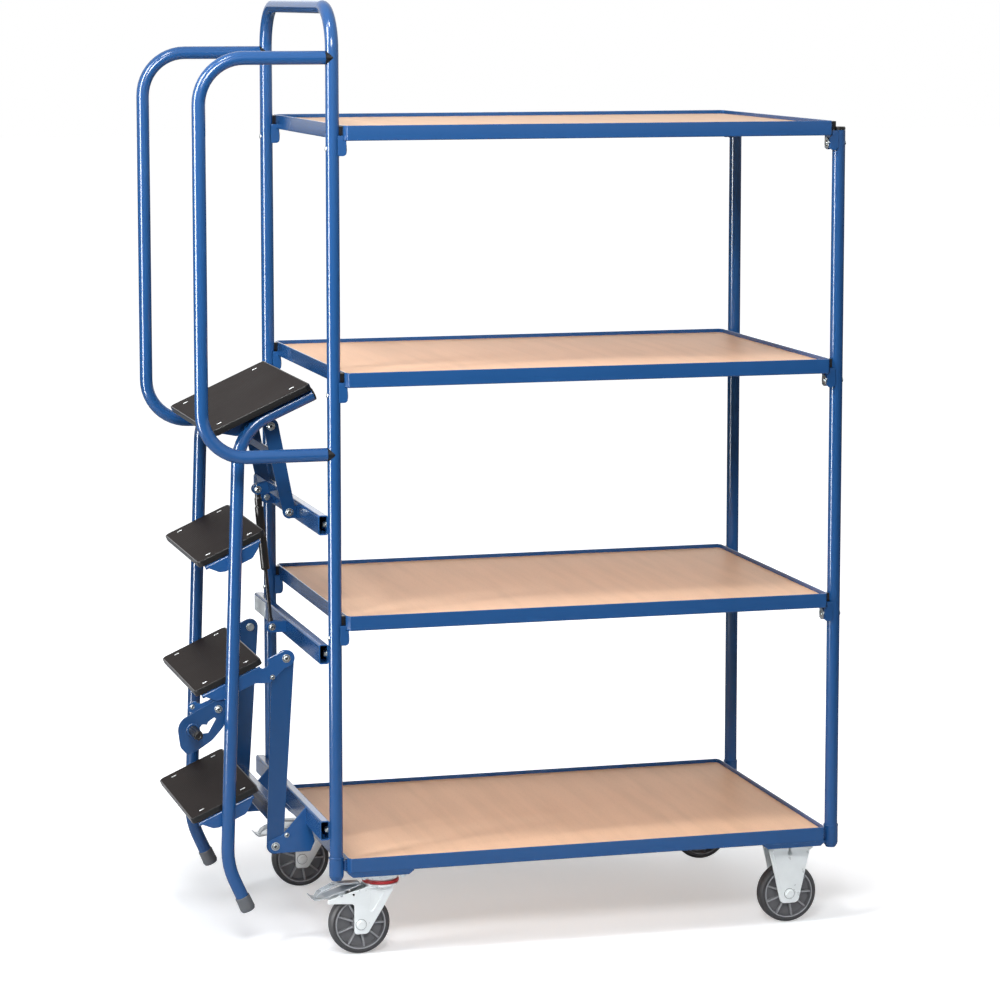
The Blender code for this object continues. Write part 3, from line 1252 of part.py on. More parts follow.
def build_swivel_castor(word, side):
    x = SHELF_X - SHELF_LENGTH / 2 + SWIVEL_FROM_END
    place = (x, side * (SHELF_WIDTH / 2 - CASTOR_INSET), 0)
    mount = pivot_at(f"swivel_mount_{word}", place)
    swivel = pivot_at(f"swivel_pivot_{word}", place)
    name = f"swivel_{word}"
    finish(swivel_plate(), f"{name}_plate", ZINC, mount)
    finish(swivel_seal(), f"{name}_seal", RED, mount)
    finish(swivel_fork(), f"{name}_fork", ZINC, swivel)
    wheel = pivot_at(f"wheel_pivot_swivel_{word}", (-SWIVEL_TRAIL, 0, WHEEL_RADIUS), parent=swivel)
    build_wheel(name, wheel)
    pedal_pivot = pivot_at(f"pedal_pivot_{word}", (PEDAL_PIVOT_X, 0, PEDAL_PIVOT_Z), parent=swivel)
    finish(brake_pedal(), f"brake_pedal_{word}", ZINC, pedal_pivot)


def build_fixed_castor(word, side):
    x = SHELF_X + SHELF_LENGTH / 2 - FIXED_FROM_END
    place = (x, side * (SHELF_WIDTH / 2 - CASTOR_INSET), 0)
    mount = pivot_at(f"fixed_mount_{word}", place)
    name = f"fixed_{word}"
    finish(fixed_fork(), f"{name}_fork", ZINC, mount)
    wheel = pivot_at(f"wheel_pivot_fixed_{word}", (0, 0, WHEEL_RADIUS), parent=mount)
    build_wheel(name, wheel)


def build_castors():
    for word, side in SIDES:
        build_swivel_castor(word, side)
        build_fixed_castor(word, side)


build_shelves()
build_posts()
build_guards()
build_rails()
build_lower_link()
build_upper_link()
build_gas_spring()
build_ladder()
build_castors()
bpy.context.view_layer.update()
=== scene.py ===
# %% [markdown]
# # An order picking trolley with a folding step ladder
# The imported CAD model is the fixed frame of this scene. It says where each piece is and
# which body it moves with. Every cell below dresses one part of the trolley: round tubes,
# rounded sheet edges, bolts, wood and rubber take the place of the coarse solids.

# %% Load the frame
import bmesh
import bpy
import json
import math
import mathutils.geometry
from mathutils import Matrix, Vector


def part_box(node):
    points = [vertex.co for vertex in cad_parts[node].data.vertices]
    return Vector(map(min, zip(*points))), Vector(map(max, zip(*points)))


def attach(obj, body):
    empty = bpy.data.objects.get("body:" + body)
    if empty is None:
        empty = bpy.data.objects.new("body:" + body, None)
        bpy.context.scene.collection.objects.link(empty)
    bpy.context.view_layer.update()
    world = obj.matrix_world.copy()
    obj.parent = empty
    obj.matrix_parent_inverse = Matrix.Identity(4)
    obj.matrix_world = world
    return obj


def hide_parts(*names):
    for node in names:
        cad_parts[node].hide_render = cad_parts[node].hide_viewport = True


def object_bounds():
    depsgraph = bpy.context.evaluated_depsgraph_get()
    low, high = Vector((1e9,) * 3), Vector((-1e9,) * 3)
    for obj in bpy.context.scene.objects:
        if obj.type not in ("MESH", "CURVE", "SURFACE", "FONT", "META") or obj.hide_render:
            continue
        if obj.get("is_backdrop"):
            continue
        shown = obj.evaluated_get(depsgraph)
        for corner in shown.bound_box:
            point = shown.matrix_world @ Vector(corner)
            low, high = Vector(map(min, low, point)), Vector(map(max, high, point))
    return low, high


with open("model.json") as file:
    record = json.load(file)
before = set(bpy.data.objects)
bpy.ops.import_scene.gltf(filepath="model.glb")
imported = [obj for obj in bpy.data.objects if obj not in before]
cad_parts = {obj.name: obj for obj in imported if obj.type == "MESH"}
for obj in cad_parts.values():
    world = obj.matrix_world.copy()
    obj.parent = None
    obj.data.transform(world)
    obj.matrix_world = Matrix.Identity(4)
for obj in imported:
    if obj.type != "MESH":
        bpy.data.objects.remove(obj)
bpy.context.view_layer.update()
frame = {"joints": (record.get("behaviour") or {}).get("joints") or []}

# %% [markdown]
# ## Places that the frame already knows
# The solids and the joints hold the main sizes of the trolley. They are read here once, so
# that the dressed pieces below sit where the CAD pieces sit and turn about the same pins.

# %% Sizes read from the frame
PIN = {joint["name"]: joint["pos_m"] for joint in frame["joints"] if "pos_m" in joint}
FOOT_PIN, LADDER_PIN, HEAD_PIN, GAS_PIN = (
    (PIN[name][0], PIN[name][2])
    for name in ("lower_link_swing", "ladder_swing", "upper_link_swing", "gas_spring_swing"))
SWIVEL_X = PIN["swivel_far_turn"][0]
FIXED_X, CASTOR_Y, AXLE_Z = PIN["wheel_fixed_far_roll"]
TRAIL = PIN["wheel_swivel_far_roll"][0] - SWIVEL_X
SIDES = (("near", -1), ("far", 1))

post_low, post_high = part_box("post_far")
hoop_low, hoop_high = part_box("end_hoop")
board_low, board_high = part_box("deck_board")
TUBE = (post_high.x - post_low.x) / 2
PLAIN_X = (post_low.x + post_high.x) / 2
HOOP_X = (hoop_low.x + hoop_high.x) / 2
POST_Y = (post_low.y + post_high.y) / 2
POST_FOOT, POST_TOP = post_low.z, post_high.z
HAIR = 0.00001
BOARD_BACK = 0.004
SHELF_LOW_X, SHELF_HIGH_X = board_low.x - BOARD_BACK, board_high.x + BOARD_BACK
SHELF_HALF = board_high.y + BOARD_BACK - HAIR
TOPS = {name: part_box(name)[1].z for name in ("deck_frame", "shelf_frame_1", "shelf_frame_2", "shelf_frame_3")}
print("decks:", {name: round(top, 4) for name, top in TOPS.items()})
print("pins:", sorted(PIN))

# %% [markdown]
# ## The camera
# A product photo of a tall object is taken from far away with a long lens, so that its
# posts stay nearly upright. The place and turn below were fitted to the shelf corners.

# %% Camera
LENS = 125.93
EYE = (-1.9201, -7.0250, 1.9329)
DIP, TURN = 0.12141, 0.27101
lens = bpy.data.cameras.new("photo_camera")
lens.lens = LENS
lens.sensor_width = 36.0
lens.shift_y = -0.08
lens.clip_end = 60.0
camera = bpy.data.objects.new("photo_camera", lens)
bpy.context.scene.collection.objects.link(camera)
camera.location = EYE
camera.rotation_euler = (math.pi / 2 - DIP, 0.0, -TURN)
bpy.context.scene.camera = camera
print("lens", LENS, "mm")

# %% [markdown]
# ## Node trees
# Worlds, materials and effects are all trees of nodes. Making a node, setting it and linking
# it takes three kinds of line, so one small helper does all of them in one call.

# %% A helper for nodes


def add(tree, kind, inputs=None, **settings):
    """A shader node; an input is given a plain value or the socket that feeds it."""
    node = tree.nodes.new("ShaderNode" + kind)
    for name, value in settings.items():
        setattr(node, name, value)
    for name, value in (inputs or {}).items():
        if isinstance(value, bpy.types.NodeSocket):
            tree.links.new(value, node.inputs[name])
        else:
            node.inputs[name].default_value = value
    return node


def calc(tree, operation, first, second):
    """The result of a math node on two sockets or plain numbers."""
    return add(tree, "Math", {0: first, 1: second}, operation=operation).outputs[0]


def noise(tree, scale, detail, place=None):
    """Noise in the object's own coordinates, or in others handed in."""
    place = place or add(tree, "TexCoord").outputs["Object"]
    return add(tree, "TexNoise", {"Vector": place, "Scale": scale, "Detail": detail}).outputs["Fac"]


print("node helpers:", [helper.__name__ for helper in (add, calc, noise)])

# %% [markdown]
# ## Floor, world and lamps
# The trolley is lit from above and from the left in the photo. The world is white for the
# camera, for reflections and through clear things, and dim for all other light, so the lamps
# alone decide how bright a matte surface looks.

# %% World
scene = bpy.context.scene
scene.view_settings.view_transform = "Standard"
scene.world = bpy.data.worlds.new("studio")
scene.world.use_nodes = True
sky = scene.world.node_tree
sky.nodes.clear()
rays = add(sky, "LightPath").outputs
seen = rays["Is Camera Ray"]
for kind in ("Is Transmission Ray", "Is Glossy Ray"):
    seen = calc(sky, "MAXIMUM", seen, rays[kind])
dim = add(sky, "Background", {"Color": (0.90, 0.95, 1.0, 1.0), "Strength": 0.11})
white = add(sky, "Background", {"Color": (1.0, 1.0, 1.0, 1.0)})
choose = add(sky, "MixShader", {"Fac": seen, 1: dim.outputs[0], 2: white.outputs[0]})
add(sky, "OutputWorld", {"Surface": choose.outputs[0]})
print("world nodes:", len(sky.nodes))

# %% [markdown]
# The floor is pale matte paper. A matte sheet alone renders grey at its far end, so it also
# glows a little for the camera, weakly under the trolley and fully away from it. This lifts
# it to white and keeps the soft shadow.

# %% Floor
FLOOR_REACH, FLOOR_DROP = 40.0, 0.0008
GLOW_CENTRE = (-0.20, -0.25, 0.0)
corners = [(x * FLOOR_REACH, y * FLOOR_REACH, 0) for x, y in ((-1, -1), (1, -1), (1, 1), (-1, 1))]
floor_mesh = bpy.data.meshes.new("floor")
floor_mesh.from_pydata(corners, [], [(0, 1, 2, 3)])
floor = bpy.data.objects.new("floor", floor_mesh)
scene.collection.objects.link(floor)
floor.location.z = -FLOOR_DROP
paper = bpy.data.materials.new("white_paper")
paper.use_nodes = True
sheet = paper.node_tree
sheet.nodes.clear()
place = add(sheet, "TexCoord").outputs["Object"]
away = add(sheet, "VectorMath", {0: place, 1: GLOW_CENTRE}, operation="DISTANCE").outputs["Value"]
rise = add(sheet, "MapRange",
           {"Value": away, "From Min": 0.60, "From Max": 1.55, "To Min": 0.40, "To Max": 1.0},
           interpolation_type="SMOOTHSTEP").outputs["Result"]
lift = calc(sheet, "MULTIPLY", add(sheet, "LightPath").outputs["Is Camera Ray"], rise)
matte = add(sheet, "BsdfDiffuse", {"Color": (0.76, 0.785, 0.815, 1.0)})
glow = add(sheet, "Emission", {"Strength": lift})
lit = add(sheet, "AddShader", {0: matte.outputs[0], 1: glow.outputs[0]})
add(sheet, "OutputMaterial", {"Surface": lit.outputs[0]})
floor_mesh.materials.append(paper)
floor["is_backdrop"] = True
print("floor nodes:", len(sheet.nodes))

# %% [markdown]
# Every lamp is a soft box. A narrow tall one draws the thin bright line down the left of
# each tube. Two boxes act only on matte surfaces and two only on shiny ones, so the bright
# line and the tone of the paint are set apart.

# %% Lamps


def softbox(name, place, aim, size, power, spread=180, matte=True, shiny=True):
    """An area lamp that faces a point; a small spread, in degrees, keeps its light together."""
    lamp = bpy.data.lights.new(name, "AREA")
    lamp.shape = "RECTANGLE"
    lamp.size, lamp.size_y = size
    lamp.energy = power
    lamp.spread = math.radians(spread)
    holder = bpy.data.objects.new(name, lamp)
    scene.collection.objects.link(holder)
    holder.location = place
    holder.rotation_euler = (Vector(aim) - Vector(place)).to_track_quat("-Z", "Y").to_euler()
    holder.visible_camera = False
    holder.visible_diffuse = matte
    holder.visible_glossy = shiny


softbox("front_high", (-1.3, -3.8, 3.0), aim=(-0.2, 0, 1.5), size=(1.3, 1.0), power=38, spread=90)
softbox("left_tall", (-3.9, -1.1, 1.9), aim=(0, 0, 1.2), size=(0.22, 3.0), power=48, shiny=False)
softbox("left_line", (-2.2, -0.56, 1.6), aim=(0, -0.1, 1.3), size=(0.5, 3.0), power=165, matte=False)
softbox("left_slope", (-2.7, -1.25, 3.4), aim=(-0.2, 0, 1.1), size=(0.3, 2.2), power=55)
softbox("overhead", (-1.2, -1.4, 4.1), aim=(-0.1, 0, 0.9), size=(0.5, 0.5), power=37)
softbox("back_wall", (0.7, 4.6, 2.0), aim=(0.1, 0, 1.0), size=(3.6, 1.8), power=28, shiny=False)
softbox("back_sheen", (1.9, 4.6, 2.3), aim=(0.2, 0, 1.2), size=(4.8, 2.2), power=26, matte=False)
softbox("front_low", (1.2, -3.6, 0.7), aim=(0.12, 0.1, 0.09), size=(1.2, 0.5), power=0.40, spread=24)

# %% [markdown]
# ## Effects that several finishes share
# A node group is a small machine with named inputs and outputs. It is built once and then
# placed in every finish that needs it, each time with other values.

# %% A helper for node groups


def effect(name, inputs, outputs):
    """An empty shader node group with its sockets; gives back the tree and its two ends."""
    tree = bpy.data.node_groups.new(name, "ShaderNodeTree")
    for label, kind, value in inputs:
        socket = tree.interface.new_socket(label, in_out="INPUT", socket_type=kind)
        socket.default_value = value
    for label, kind in outputs:
        tree.interface.new_socket(label, in_out="OUTPUT", socket_type=kind)
    return tree, tree.nodes.new("NodeGroupInput").outputs, tree.nodes.new("NodeGroupOutput").inputs


print("node groups so far:", len(bpy.data.node_groups))

# %% [markdown]
# Powder coat, moulded plastic and rubber are never perfectly smooth. A fine noise in the
# object's own coordinates gives their skin, as a height for a Bump node.

# %% Fine skin
skin, given, put = effect(
    "Fine skin", [("Scale", "NodeSocketFloat", 700.0), ("Detail", "NodeSocketFloat", 2.0)],
    [("Height", "NodeSocketFloat")])
skin.links.new(noise(skin, given["Scale"], given["Detail"]), put["Height"])
print(skin.name, [item.name for item in skin.interface.items_tree])

# %% [markdown]
# No coat has one exact colour. Tone drift makes slow, weak lighter and darker places, and
# hands the same pattern on as a value for the roughness.

# %% Tone drift
drift, given, put = effect(
    "Tone drift",
    [("Colour", "NodeSocketColor", (0.5, 0.5, 0.5, 1.0)), ("Amount", "NodeSocketFloat", 0.1),
     ("Scale", "NodeSocketFloat", 6.0)],
    [("Colour", "NodeSocketColor"), ("Value", "NodeSocketFloat")])
cloud = noise(drift, given["Scale"], 4.0)
swing = calc(drift, "MULTIPLY", calc(drift, "SUBTRACT", cloud, 0.5), given["Amount"])
share = calc(drift, "ADD", swing, 1.0)
tint = add(drift, "VectorMath", {0: given["Colour"], "Scale": share}, operation="SCALE")
drift.links.new(tint.outputs[0], put["Colour"])
drift.links.new(cloud, put["Value"])
print(drift.name, [item.name for item in drift.interface.items_tree])

# %% [markdown]
# Paint is thinnest on an edge and gets rubbed there first. The flat sheets and the deck rims
# below mark their narrow edge faces in an attribute, and this group breaks that mark up with noise.

# %% Edge wear
wear, given, put = effect(
    "Edge wear", [("Amount", "NodeSocketFloat", 0.5), ("Scale", "NodeSocketFloat", 60.0)],
    [("Mask", "NodeSocketFloat")])
chips = noise(wear, given["Scale"], 5.0)
steep = add(wear, "MapRange", {"Value": chips, "From Min": 0.45, "From Max": 0.65}).outputs["Result"]
marks = add(wear, "Attribute", attribute_name="edge").outputs["Fac"]
broken = calc(wear, "MULTIPLY", steep, marks)
wear.links.new(calc(wear, "MULTIPLY", broken, given["Amount"]), put["Mask"])
print(wear.name, [item.name for item in wear.interface.items_tree])

# %% [markdown]
# ## Finishes
# A small helper makes the Principled shader, places the shared effects in it and connects
# them. The plain numbers of a finish sit on the shader's own sockets.

# %% A helper for finishes


def mixed_in(tree, base, mask, colour):
    """Mixes a colour over a base where the mask is high."""
    mix = add(tree, "Mix", {"Factor": mask, "A": base, "B": (*colour, 1.0)}, data_type="RGBA")
    return mix.outputs["Result"]


def finish(name, colour, rough, metallic=0.0, shine=0.5, tone=0.1, tone_scale=6.0, worn=0.0,
           worn_colour=None, skin_scale=700.0, skin_mm=0.02, rough_swing=0.1):
    """A finish with tone drift, fine skin and, where asked for, worn edges."""
    made = bpy.data.materials.new(name)
    made.use_nodes = True
    tree = made.node_tree
    shader = tree.nodes["Principled BSDF"]
    shader.inputs["Metallic"].default_value = metallic
    shader.inputs["Specular IOR Level"].default_value = shine
    tones = add(tree, "Group", {"Colour": (*colour, 1.0), "Amount": tone, "Scale": tone_scale},
                node_tree=drift).outputs
    paint = tones["Colour"]
    if worn:
        mask = add(tree, "Group", {"Amount": worn}, node_tree=wear).outputs["Mask"]
        paint = mixed_in(tree, paint, mask, worn_colour)
    tree.links.new(paint, shader.inputs["Base Color"])
    spread = calc(tree, "MULTIPLY", tones["Value"], rough_swing)
    tree.links.new(calc(tree, "ADD", spread, rough - rough_swing / 2), shader.inputs["Roughness"])
    grain = add(tree, "Group", {"Scale": skin_scale}, node_tree=skin).outputs["Height"]
    bump = add(tree, "Bump", {"Strength": 1.0, "Distance": skin_mm * 0.001, "Height": grain})
    tree.links.new(bump.outputs["Normal"], shader.inputs["Normal"])
    return made


print("finish helpers:", [helper.__name__ for helper in (mixed_in, finish)])

# %% [markdown]
# The blue coat is a satin powder coat with orange peel. The links and the latch plate take a
# darker copy of it, which is painted shade. Zinc is bright and a little milky. The rubbers and
# plastics differ in how coarse their skin is.

# %% Plain finishes
BLUE = finish("blue_powder_coat", (0.0140, 0.078, 0.236), 0.17, shine=0.45, worn=0.35,
              worn_colour=(0.06, 0.20, 0.44), skin_scale=900.0, skin_mm=0.004)
# A darker copy of the blue coat, as painted shade on the links and the latch plate.
SHADED_LINK_BLUE = finish("blue_powder_coat_painted_shade", (0.0105, 0.058, 0.172), 0.17, shine=0.45, worn=0.35,
                   worn_colour=(0.05, 0.16, 0.36), skin_scale=900.0, skin_mm=0.004)
BLACK = finish("black_moulded_plastic", (0.0035, 0.0033, 0.0034), 0.32, shine=0.4, tone=0.2,
               skin_scale=1400.0, skin_mm=0.03)
FOOT = finish("grey_foot_rubber", (0.100, 0.107, 0.118), 0.56, tone=0.2, skin_scale=900.0, skin_mm=0.08)
TYRE = finish("tyre_rubber", (0.033, 0.0325, 0.035), 0.56, tone=0.18, tone_scale=25.0, skin_scale=1100.0,
              skin_mm=0.06)
# The hub's light worn colour is meant as a painted highlight on the edges that catch the light.
HUB = finish("hub_plastic", (0.135, 0.136, 0.145), 0.42, tone=0.12, worn=1.0, worn_colour=(0.50, 0.50, 0.52),
             skin_scale=1500.0, skin_mm=0.03)
# A lighter copy of the hub plastic for the ribs and face rings, with lighter edges: painted highlight.
LIT_RIB = finish("hub_ribs_painted_highlight", (0.30, 0.305, 0.32), 0.40, tone=0.12, worn=0.6, worn_colour=(0.5, 0.5, 0.52),
             skin_scale=1500.0, skin_mm=0.03)
ZINC = finish("bright_zinc", (0.85, 0.885, 0.885), 0.30, metallic=0.20, tone=0.12, tone_scale=40.0, worn=0.5,
              worn_colour=(0.9, 0.92, 0.92), skin_scale=300.0, skin_mm=0.04, rough_swing=0.2)
BOLT = finish("bolt_zinc", (0.44, 0.475, 0.475), 0.28, metallic=1.0, tone=0.3, tone_scale=90.0,
              skin_scale=300.0, skin_mm=0.03, rough_swing=0.15)
# A darker copy of the zinc for the brake pedals: painted shade for the dark they reflect.
SHADED_PEDAL_ZINC = finish("pedal_zinc_painted_shade", (0.44, 0.47, 0.49), 0.32, metallic=0.80, tone=0.2, tone_scale=60.0,
               skin_scale=300.0)
RED = finish("red_seal", (0.46, 0.016, 0.020), 0.38, skin_scale=1500.0)
GAS = finish("gas_spring_enamel", (0.007, 0.006, 0.006), 0.30, shine=0.35, skin_scale=300.0)
ROD = finish("nitrided_rod", (0.030, 0.030, 0.032), 0.22, metallic=0.6, skin_scale=2000.0, skin_mm=0.01)
# Painted shade: a near-black finish for the shade in bolt sockets, round bolt heads and axle ends.
SHADE_BLACK = finish("painted_shade", (0.020, 0.021, 0.023), 0.60)
print("materials so far:", len(bpy.data.materials))

# %% [markdown]
# Beech has short dark flecks and soft streaks along its fibres, which run the short way of
# the board. Both are noises stretched across the board's width with a Mapping node, so the
# pattern sits in the wood.

# %% Beech
BEECH = finish("beech_board", (0.85, 0.540, 0.348), 0.46, shine=0.08, tone_scale=1.6, skin_scale=900.0)
wood = BEECH.node_tree
wood_colour = wood.nodes["Principled BSDF"].inputs["Base Color"]
place = add(wood, "TexCoord").outputs["Object"]


def fibre(stretch, scale, low, high):
    """A noise drawn out along the fibres, cut to a mask between two levels."""
    along = add(wood, "Mapping", {"Vector": place, "Scale": stretch}).outputs["Vector"]
    grain = noise(wood, scale, 3.0, along)
    return add(wood, "MapRange", {"Value": grain, "From Min": low, "From Max": high}).outputs["Result"]


streaks = calc(wood, "MULTIPLY", fibre((14.0, 0.9, 14.0), 3.0, 0.40, 0.70), 0.30)
flecks = calc(wood, "MULTIPLY", fibre((120.0, 9.0, 110.0), 9.0, 0.60, 0.72), 0.35)
bands = mixed_in(wood, wood_colour.links[0].from_socket, streaks, (0.66, 0.41, 0.25))
wood.links.new(mixed_in(wood, bands, flecks, (0.50, 0.27, 0.15)), wood_colour)
print("beech nodes:", len(wood.nodes))

# %% [markdown]
# The treads are film-faced boards: nearly black, with a fine woven line pattern pressed in
# the film. The lines run along the tread, so they use the tread's own tilted direction.

# %% Tread film
LADDER_TILT = 24.2
TREAD = finish("tread_film", (0.0125, 0.0088, 0.0078), 0.60, shine=0.05, tone=0.25, tone_scale=9.0, worn=0.25,
               worn_colour=(0.08, 0.07, 0.065), skin_scale=420.0, skin_mm=0.10)
film = TREAD.node_tree
film_normal = film.nodes["Principled BSDF"].inputs["Normal"]
level = add(film, "Mapping", {"Vector": add(film, "TexCoord").outputs["Object"],
                              "Rotation": (0.0, math.radians(LADDER_TILT), 0.0)}).outputs["Vector"]
wave = add(film, "TexWave", {"Vector": level, "Scale": 90.0, "Distortion": 0.6, "Detail": 1.0})
lines = wave.outputs["Fac"]
pressed = add(film, "Bump", {"Strength": 1.0, "Distance": 0.00012, "Height": lines,
                             "Normal": film_normal.links[0].from_socket})
film.links.new(pressed.outputs["Normal"], film_normal)

# %% [markdown]
# ## Shaping helpers
# Each shape is a plain mesh in trolley coordinates. A Bevel modifier could round its corners,
# but it knows one width for all. Here each corner is given as a place and a radius of its
# own, and a route fills it with a smooth arc that fits its two straight runs.

# %% Routes with rounded corners
ARC = math.radians(7.5)
SAME_POINT = 2e-5


def rounded(corners, closed=True, arc=ARC):
    """Points of a route whose corners, given as place and radius, are arcs."""
    total = len(corners)
    reach = [0.0] * total
    for n, (place, radius) in enumerate(corners):
        if radius and (closed or 0 < n < total - 1):
            opening = (corners[n - 1][0] - place).angle(corners[(n + 1) % total][0] - place)
            reach[n] = radius / math.tan(opening / 2)
    fitted = list(reach)
    for n in range(total if closed else total - 1):
        after = (n + 1) % total
        run = (corners[after][0] - corners[n][0]).length
        wanted = reach[n] + reach[after]
        if wanted > run:
            fitted[n] = min(fitted[n], reach[n] * run / wanted)
            fitted[after] = min(fitted[after], reach[after] * run / wanted)
    points = []
    for n, (place, _) in enumerate(corners):
        if fitted[n] == 0:
            points.append(place.copy())
            continue
        back = (corners[n - 1][0] - place).normalized()
        ahead = (corners[(n + 1) % total][0] - place).normalized()
        half = back.angle(ahead) / 2
        centre = place + (back + ahead).normalized() * fitted[n] / math.cos(half)
        start = place + back * fitted[n] - centre
        end = place + ahead * fitted[n] - centre
        turn = math.pi - 2 * half
        count = max(2, math.ceil(turn / arc))
        points += [centre + Matrix.Rotation(turn * k / count, 3, start.cross(end)) @ start
                   for k in range(count + 1)]
    return [p for n, p in enumerate(points) if n == 0 or (p - points[n - 1]).length > SAME_POINT]


corner = [(Vector(place), radius) for place, radius in (((0, 0, 0), 0), ((1, 0, 0), 0.5), ((1, 1, 0), 0))]
print("a bend of 90 degrees has", len(rounded(corner, closed=False)), "points")

# %% [markdown]
# A shape is closed by faces between rings of points. Blender then works out which side of
# the faces is outside, so that their order in the script doesn't matter.

# %% Rings and closed meshes


def joined(shape, ring_a, ring_b, mark=None):
    """Faces between two rings of points; a ring of one point is the tip of a cone."""
    count = max(len(ring_a), len(ring_b))
    for n in range(count):
        around = [ring_a[n % len(ring_a)], ring_a[(n + 1) % len(ring_a)],
                  ring_b[(n + 1) % len(ring_b)], ring_b[n % len(ring_b)]]
        corners = [v for k, v in enumerate(around) if v is not around[k - 1]]
        if len(corners) > 2:
            face = shape.faces.new(corners)
            if mark is not None:
                face[mark] = 1.0


def closed_mesh(shape, base=None):
    """A mesh with outward faces from a finished bmesh, laid in a frame of its own if asked."""
    bmesh.ops.recalc_face_normals(shape, faces=shape.faces)
    mesh = bpy.data.meshes.new("shape")
    shape.to_mesh(mesh)
    shape.free()
    if base is not None:
        mesh.transform(base)
    return mesh


def turns(sides):
    """The angles of the corners of a ring."""
    return [2 * math.pi * k / sides for k in range(sides)]


print("a ring of six:", [round(math.degrees(a)) for a in turns(6)])

# %% [markdown]
# Sheet steel is cut flat, and its edges come out slightly round under the paint. The flat
# shape below gets a small arc along both of its edges, and marks it for the worn finish.

# %% Flat sheets with rounded edges
EDGE = 0.0006
EDGE_STEP = 0.29
MITRE_LIMIT = 0.35
FULL, NEARLY = 0.9999, 0.999


def inset(loop, distance):
    """The loop moved to its left by a distance, with mitred corners."""
    moved = []
    for n, point in enumerate(loop):
        run_in = (point - loop[n - 1]).normalized()
        run_out = (loop[(n + 1) % len(loop)] - point).normalized()
        left_in = Vector((-run_in.y, run_in.x))
        left_out = Vector((-run_out.y, run_out.x))
        middle = (left_in + left_out).normalized()
        moved.append(point + middle * distance / max(MITRE_LIMIT, middle.dot(left_in)))
    return moved


def sheet_of(outline, low, high, holes, edge):
    """A flat shape of (x, y, corner radius) points between two heights."""
    loops = []
    for number, corners in enumerate((outline, *holes)):
        loop = [p.xy for p in rounded([(Vector((x, y, 0)), r) for x, y, r in corners])]
        area = sum(a.x * b.y - b.x * a.y for a, b in zip(loop, loop[1:] + loop[:1]))
        if (area > 0) != (number == 0):
            loop.reverse()
        loops.append(loop)
    shape = bmesh.new()
    mark = shape.faces.layers.float.new("edge")
    side = edge * EDGE_STEP
    levels = ((edge, low), (side, low + side), (0, low + edge), (0, high - edge), (side, high - side),
              (edge, high))
    wall = 2
    ends = ([], [])
    for loop in loops:
        rings = [[shape.verts.new((p.x, p.y, z)) for p in inset(loop, back)] for back, z in levels]
        for n, (ring_a, ring_b) in enumerate(zip(rings, rings[1:])):
            joined(shape, ring_a, ring_b, mark if n != wall else None)
        ends[0].extend(rings[0])
        ends[1].extend(rings[-1])
    flat = [[Vector((p.x, p.y, 0)) for p in inset(loop, edge)] for loop in loops]
    for triangle in mathutils.geometry.tessellate_polygon(flat):
        for ring in ends:
            shape.faces.new([ring[n] for n in triangle])
    return shape


print("a sheet's edge is rounded by", EDGE * 1000, "mm")

# %% [markdown]
# A slab is such a sheet lying level, and a plate is the same sheet standing between two Y
# values. Nearly every sheet of the trolley is square to its own frame, so these two cover
# it. A few outlines come back often and have a function each.

# %% Slabs, plates and common outlines


def slab(outline, low, high, holes=(), edge=EDGE, base=None):
    """A flat shape in the level plane."""
    return closed_mesh(sheet_of(outline, low, high, holes, edge), base)


def plate(outline, start, end, holes=(), edge=EDGE, base=None):
    """A flat shape of (x, z, corner radius) points that stands between two Y values."""
    start, end = sorted((start, end))
    upright = Matrix.Rotation(math.radians(90), 4, "X")
    return closed_mesh(sheet_of(outline, -end, -start, holes, edge),
                       upright if base is None else base @ upright)


def oblong(x_low, x_high, y_low, y_high, radius=0.0):
    """A rectangular outline."""
    return ((x_low, y_low, radius), (x_high, y_low, radius),
            (x_high, y_high, radius), (x_low, y_high, radius))


def centred(half_x, half_y, radius=0.0):
    """A rectangular outline about the middle."""
    return oblong(-half_x, half_x, -half_y, half_y, radius)


def circle_at(x, y, radius):
    """A square outline whose corner arcs meet in a full circle."""
    return oblong(x - radius, x + radius, y - radius, y + radius, radius * FULL)


def block(low, high, edge=EDGE, corner=0.0, base=None):
    """A level block with rounded edges."""
    return slab(oblong(low[0], high[0], low[1], high[1], corner), low[2], high[2], edge=edge, base=base)


print("a circle starts from the square", circle_at(0, 0, 0.5)[0][:2], "to", circle_at(0, 0, 0.5)[2][:2])

# %% [markdown]
# Bent tubes follow a route. A curve with a round bevel would do it too, but then its ends
# stay sharp, and here they get the same small arc as a sheet's edge. Turned pieces spin a
# profile about an axis, and a turned piece with six sides is a hexagon head.

# %% Tubes and turned pieces
ON_AXIS = 1e-6
TURNED_ARC = math.radians(22)


def pipe(places, radius, sides=44, edge=EDGE, base=None):
    """A round bar along (x, y, z, bend radius) places, with softly rounded ends."""
    path = rounded([(Vector(p[:3]), p[3]) for p in places], closed=False)
    first = (path[1] - path[0]).normalized()
    last = (path[-1] - path[-2]).normalized()
    path = [path[0], path[0] + first * edge, *path[1:-1], path[-1] - last * edge, path[-1]]
    shape = bmesh.new()
    rings = []
    side = None
    for n, point in enumerate(path):
        ahead = (path[min(n + 1, len(path) - 1)] - path[max(n - 1, 0)]).normalized()
        side = ahead.orthogonal() if side is None else side - ahead * side.dot(ahead)
        side.normalize()
        up = ahead.cross(side)
        reach = radius - edge if n in (0, len(path) - 1) else radius
        rings.append([shape.verts.new(point + (side * math.cos(a) + up * math.sin(a)) * reach)
                      for a in turns(sides)])
    for ring_a, ring_b in zip(rings, rings[1:]):
        joined(shape, ring_a, ring_b)
    shape.faces.new(rings[0])
    shape.faces.new(rings[-1])
    return closed_mesh(shape, base)


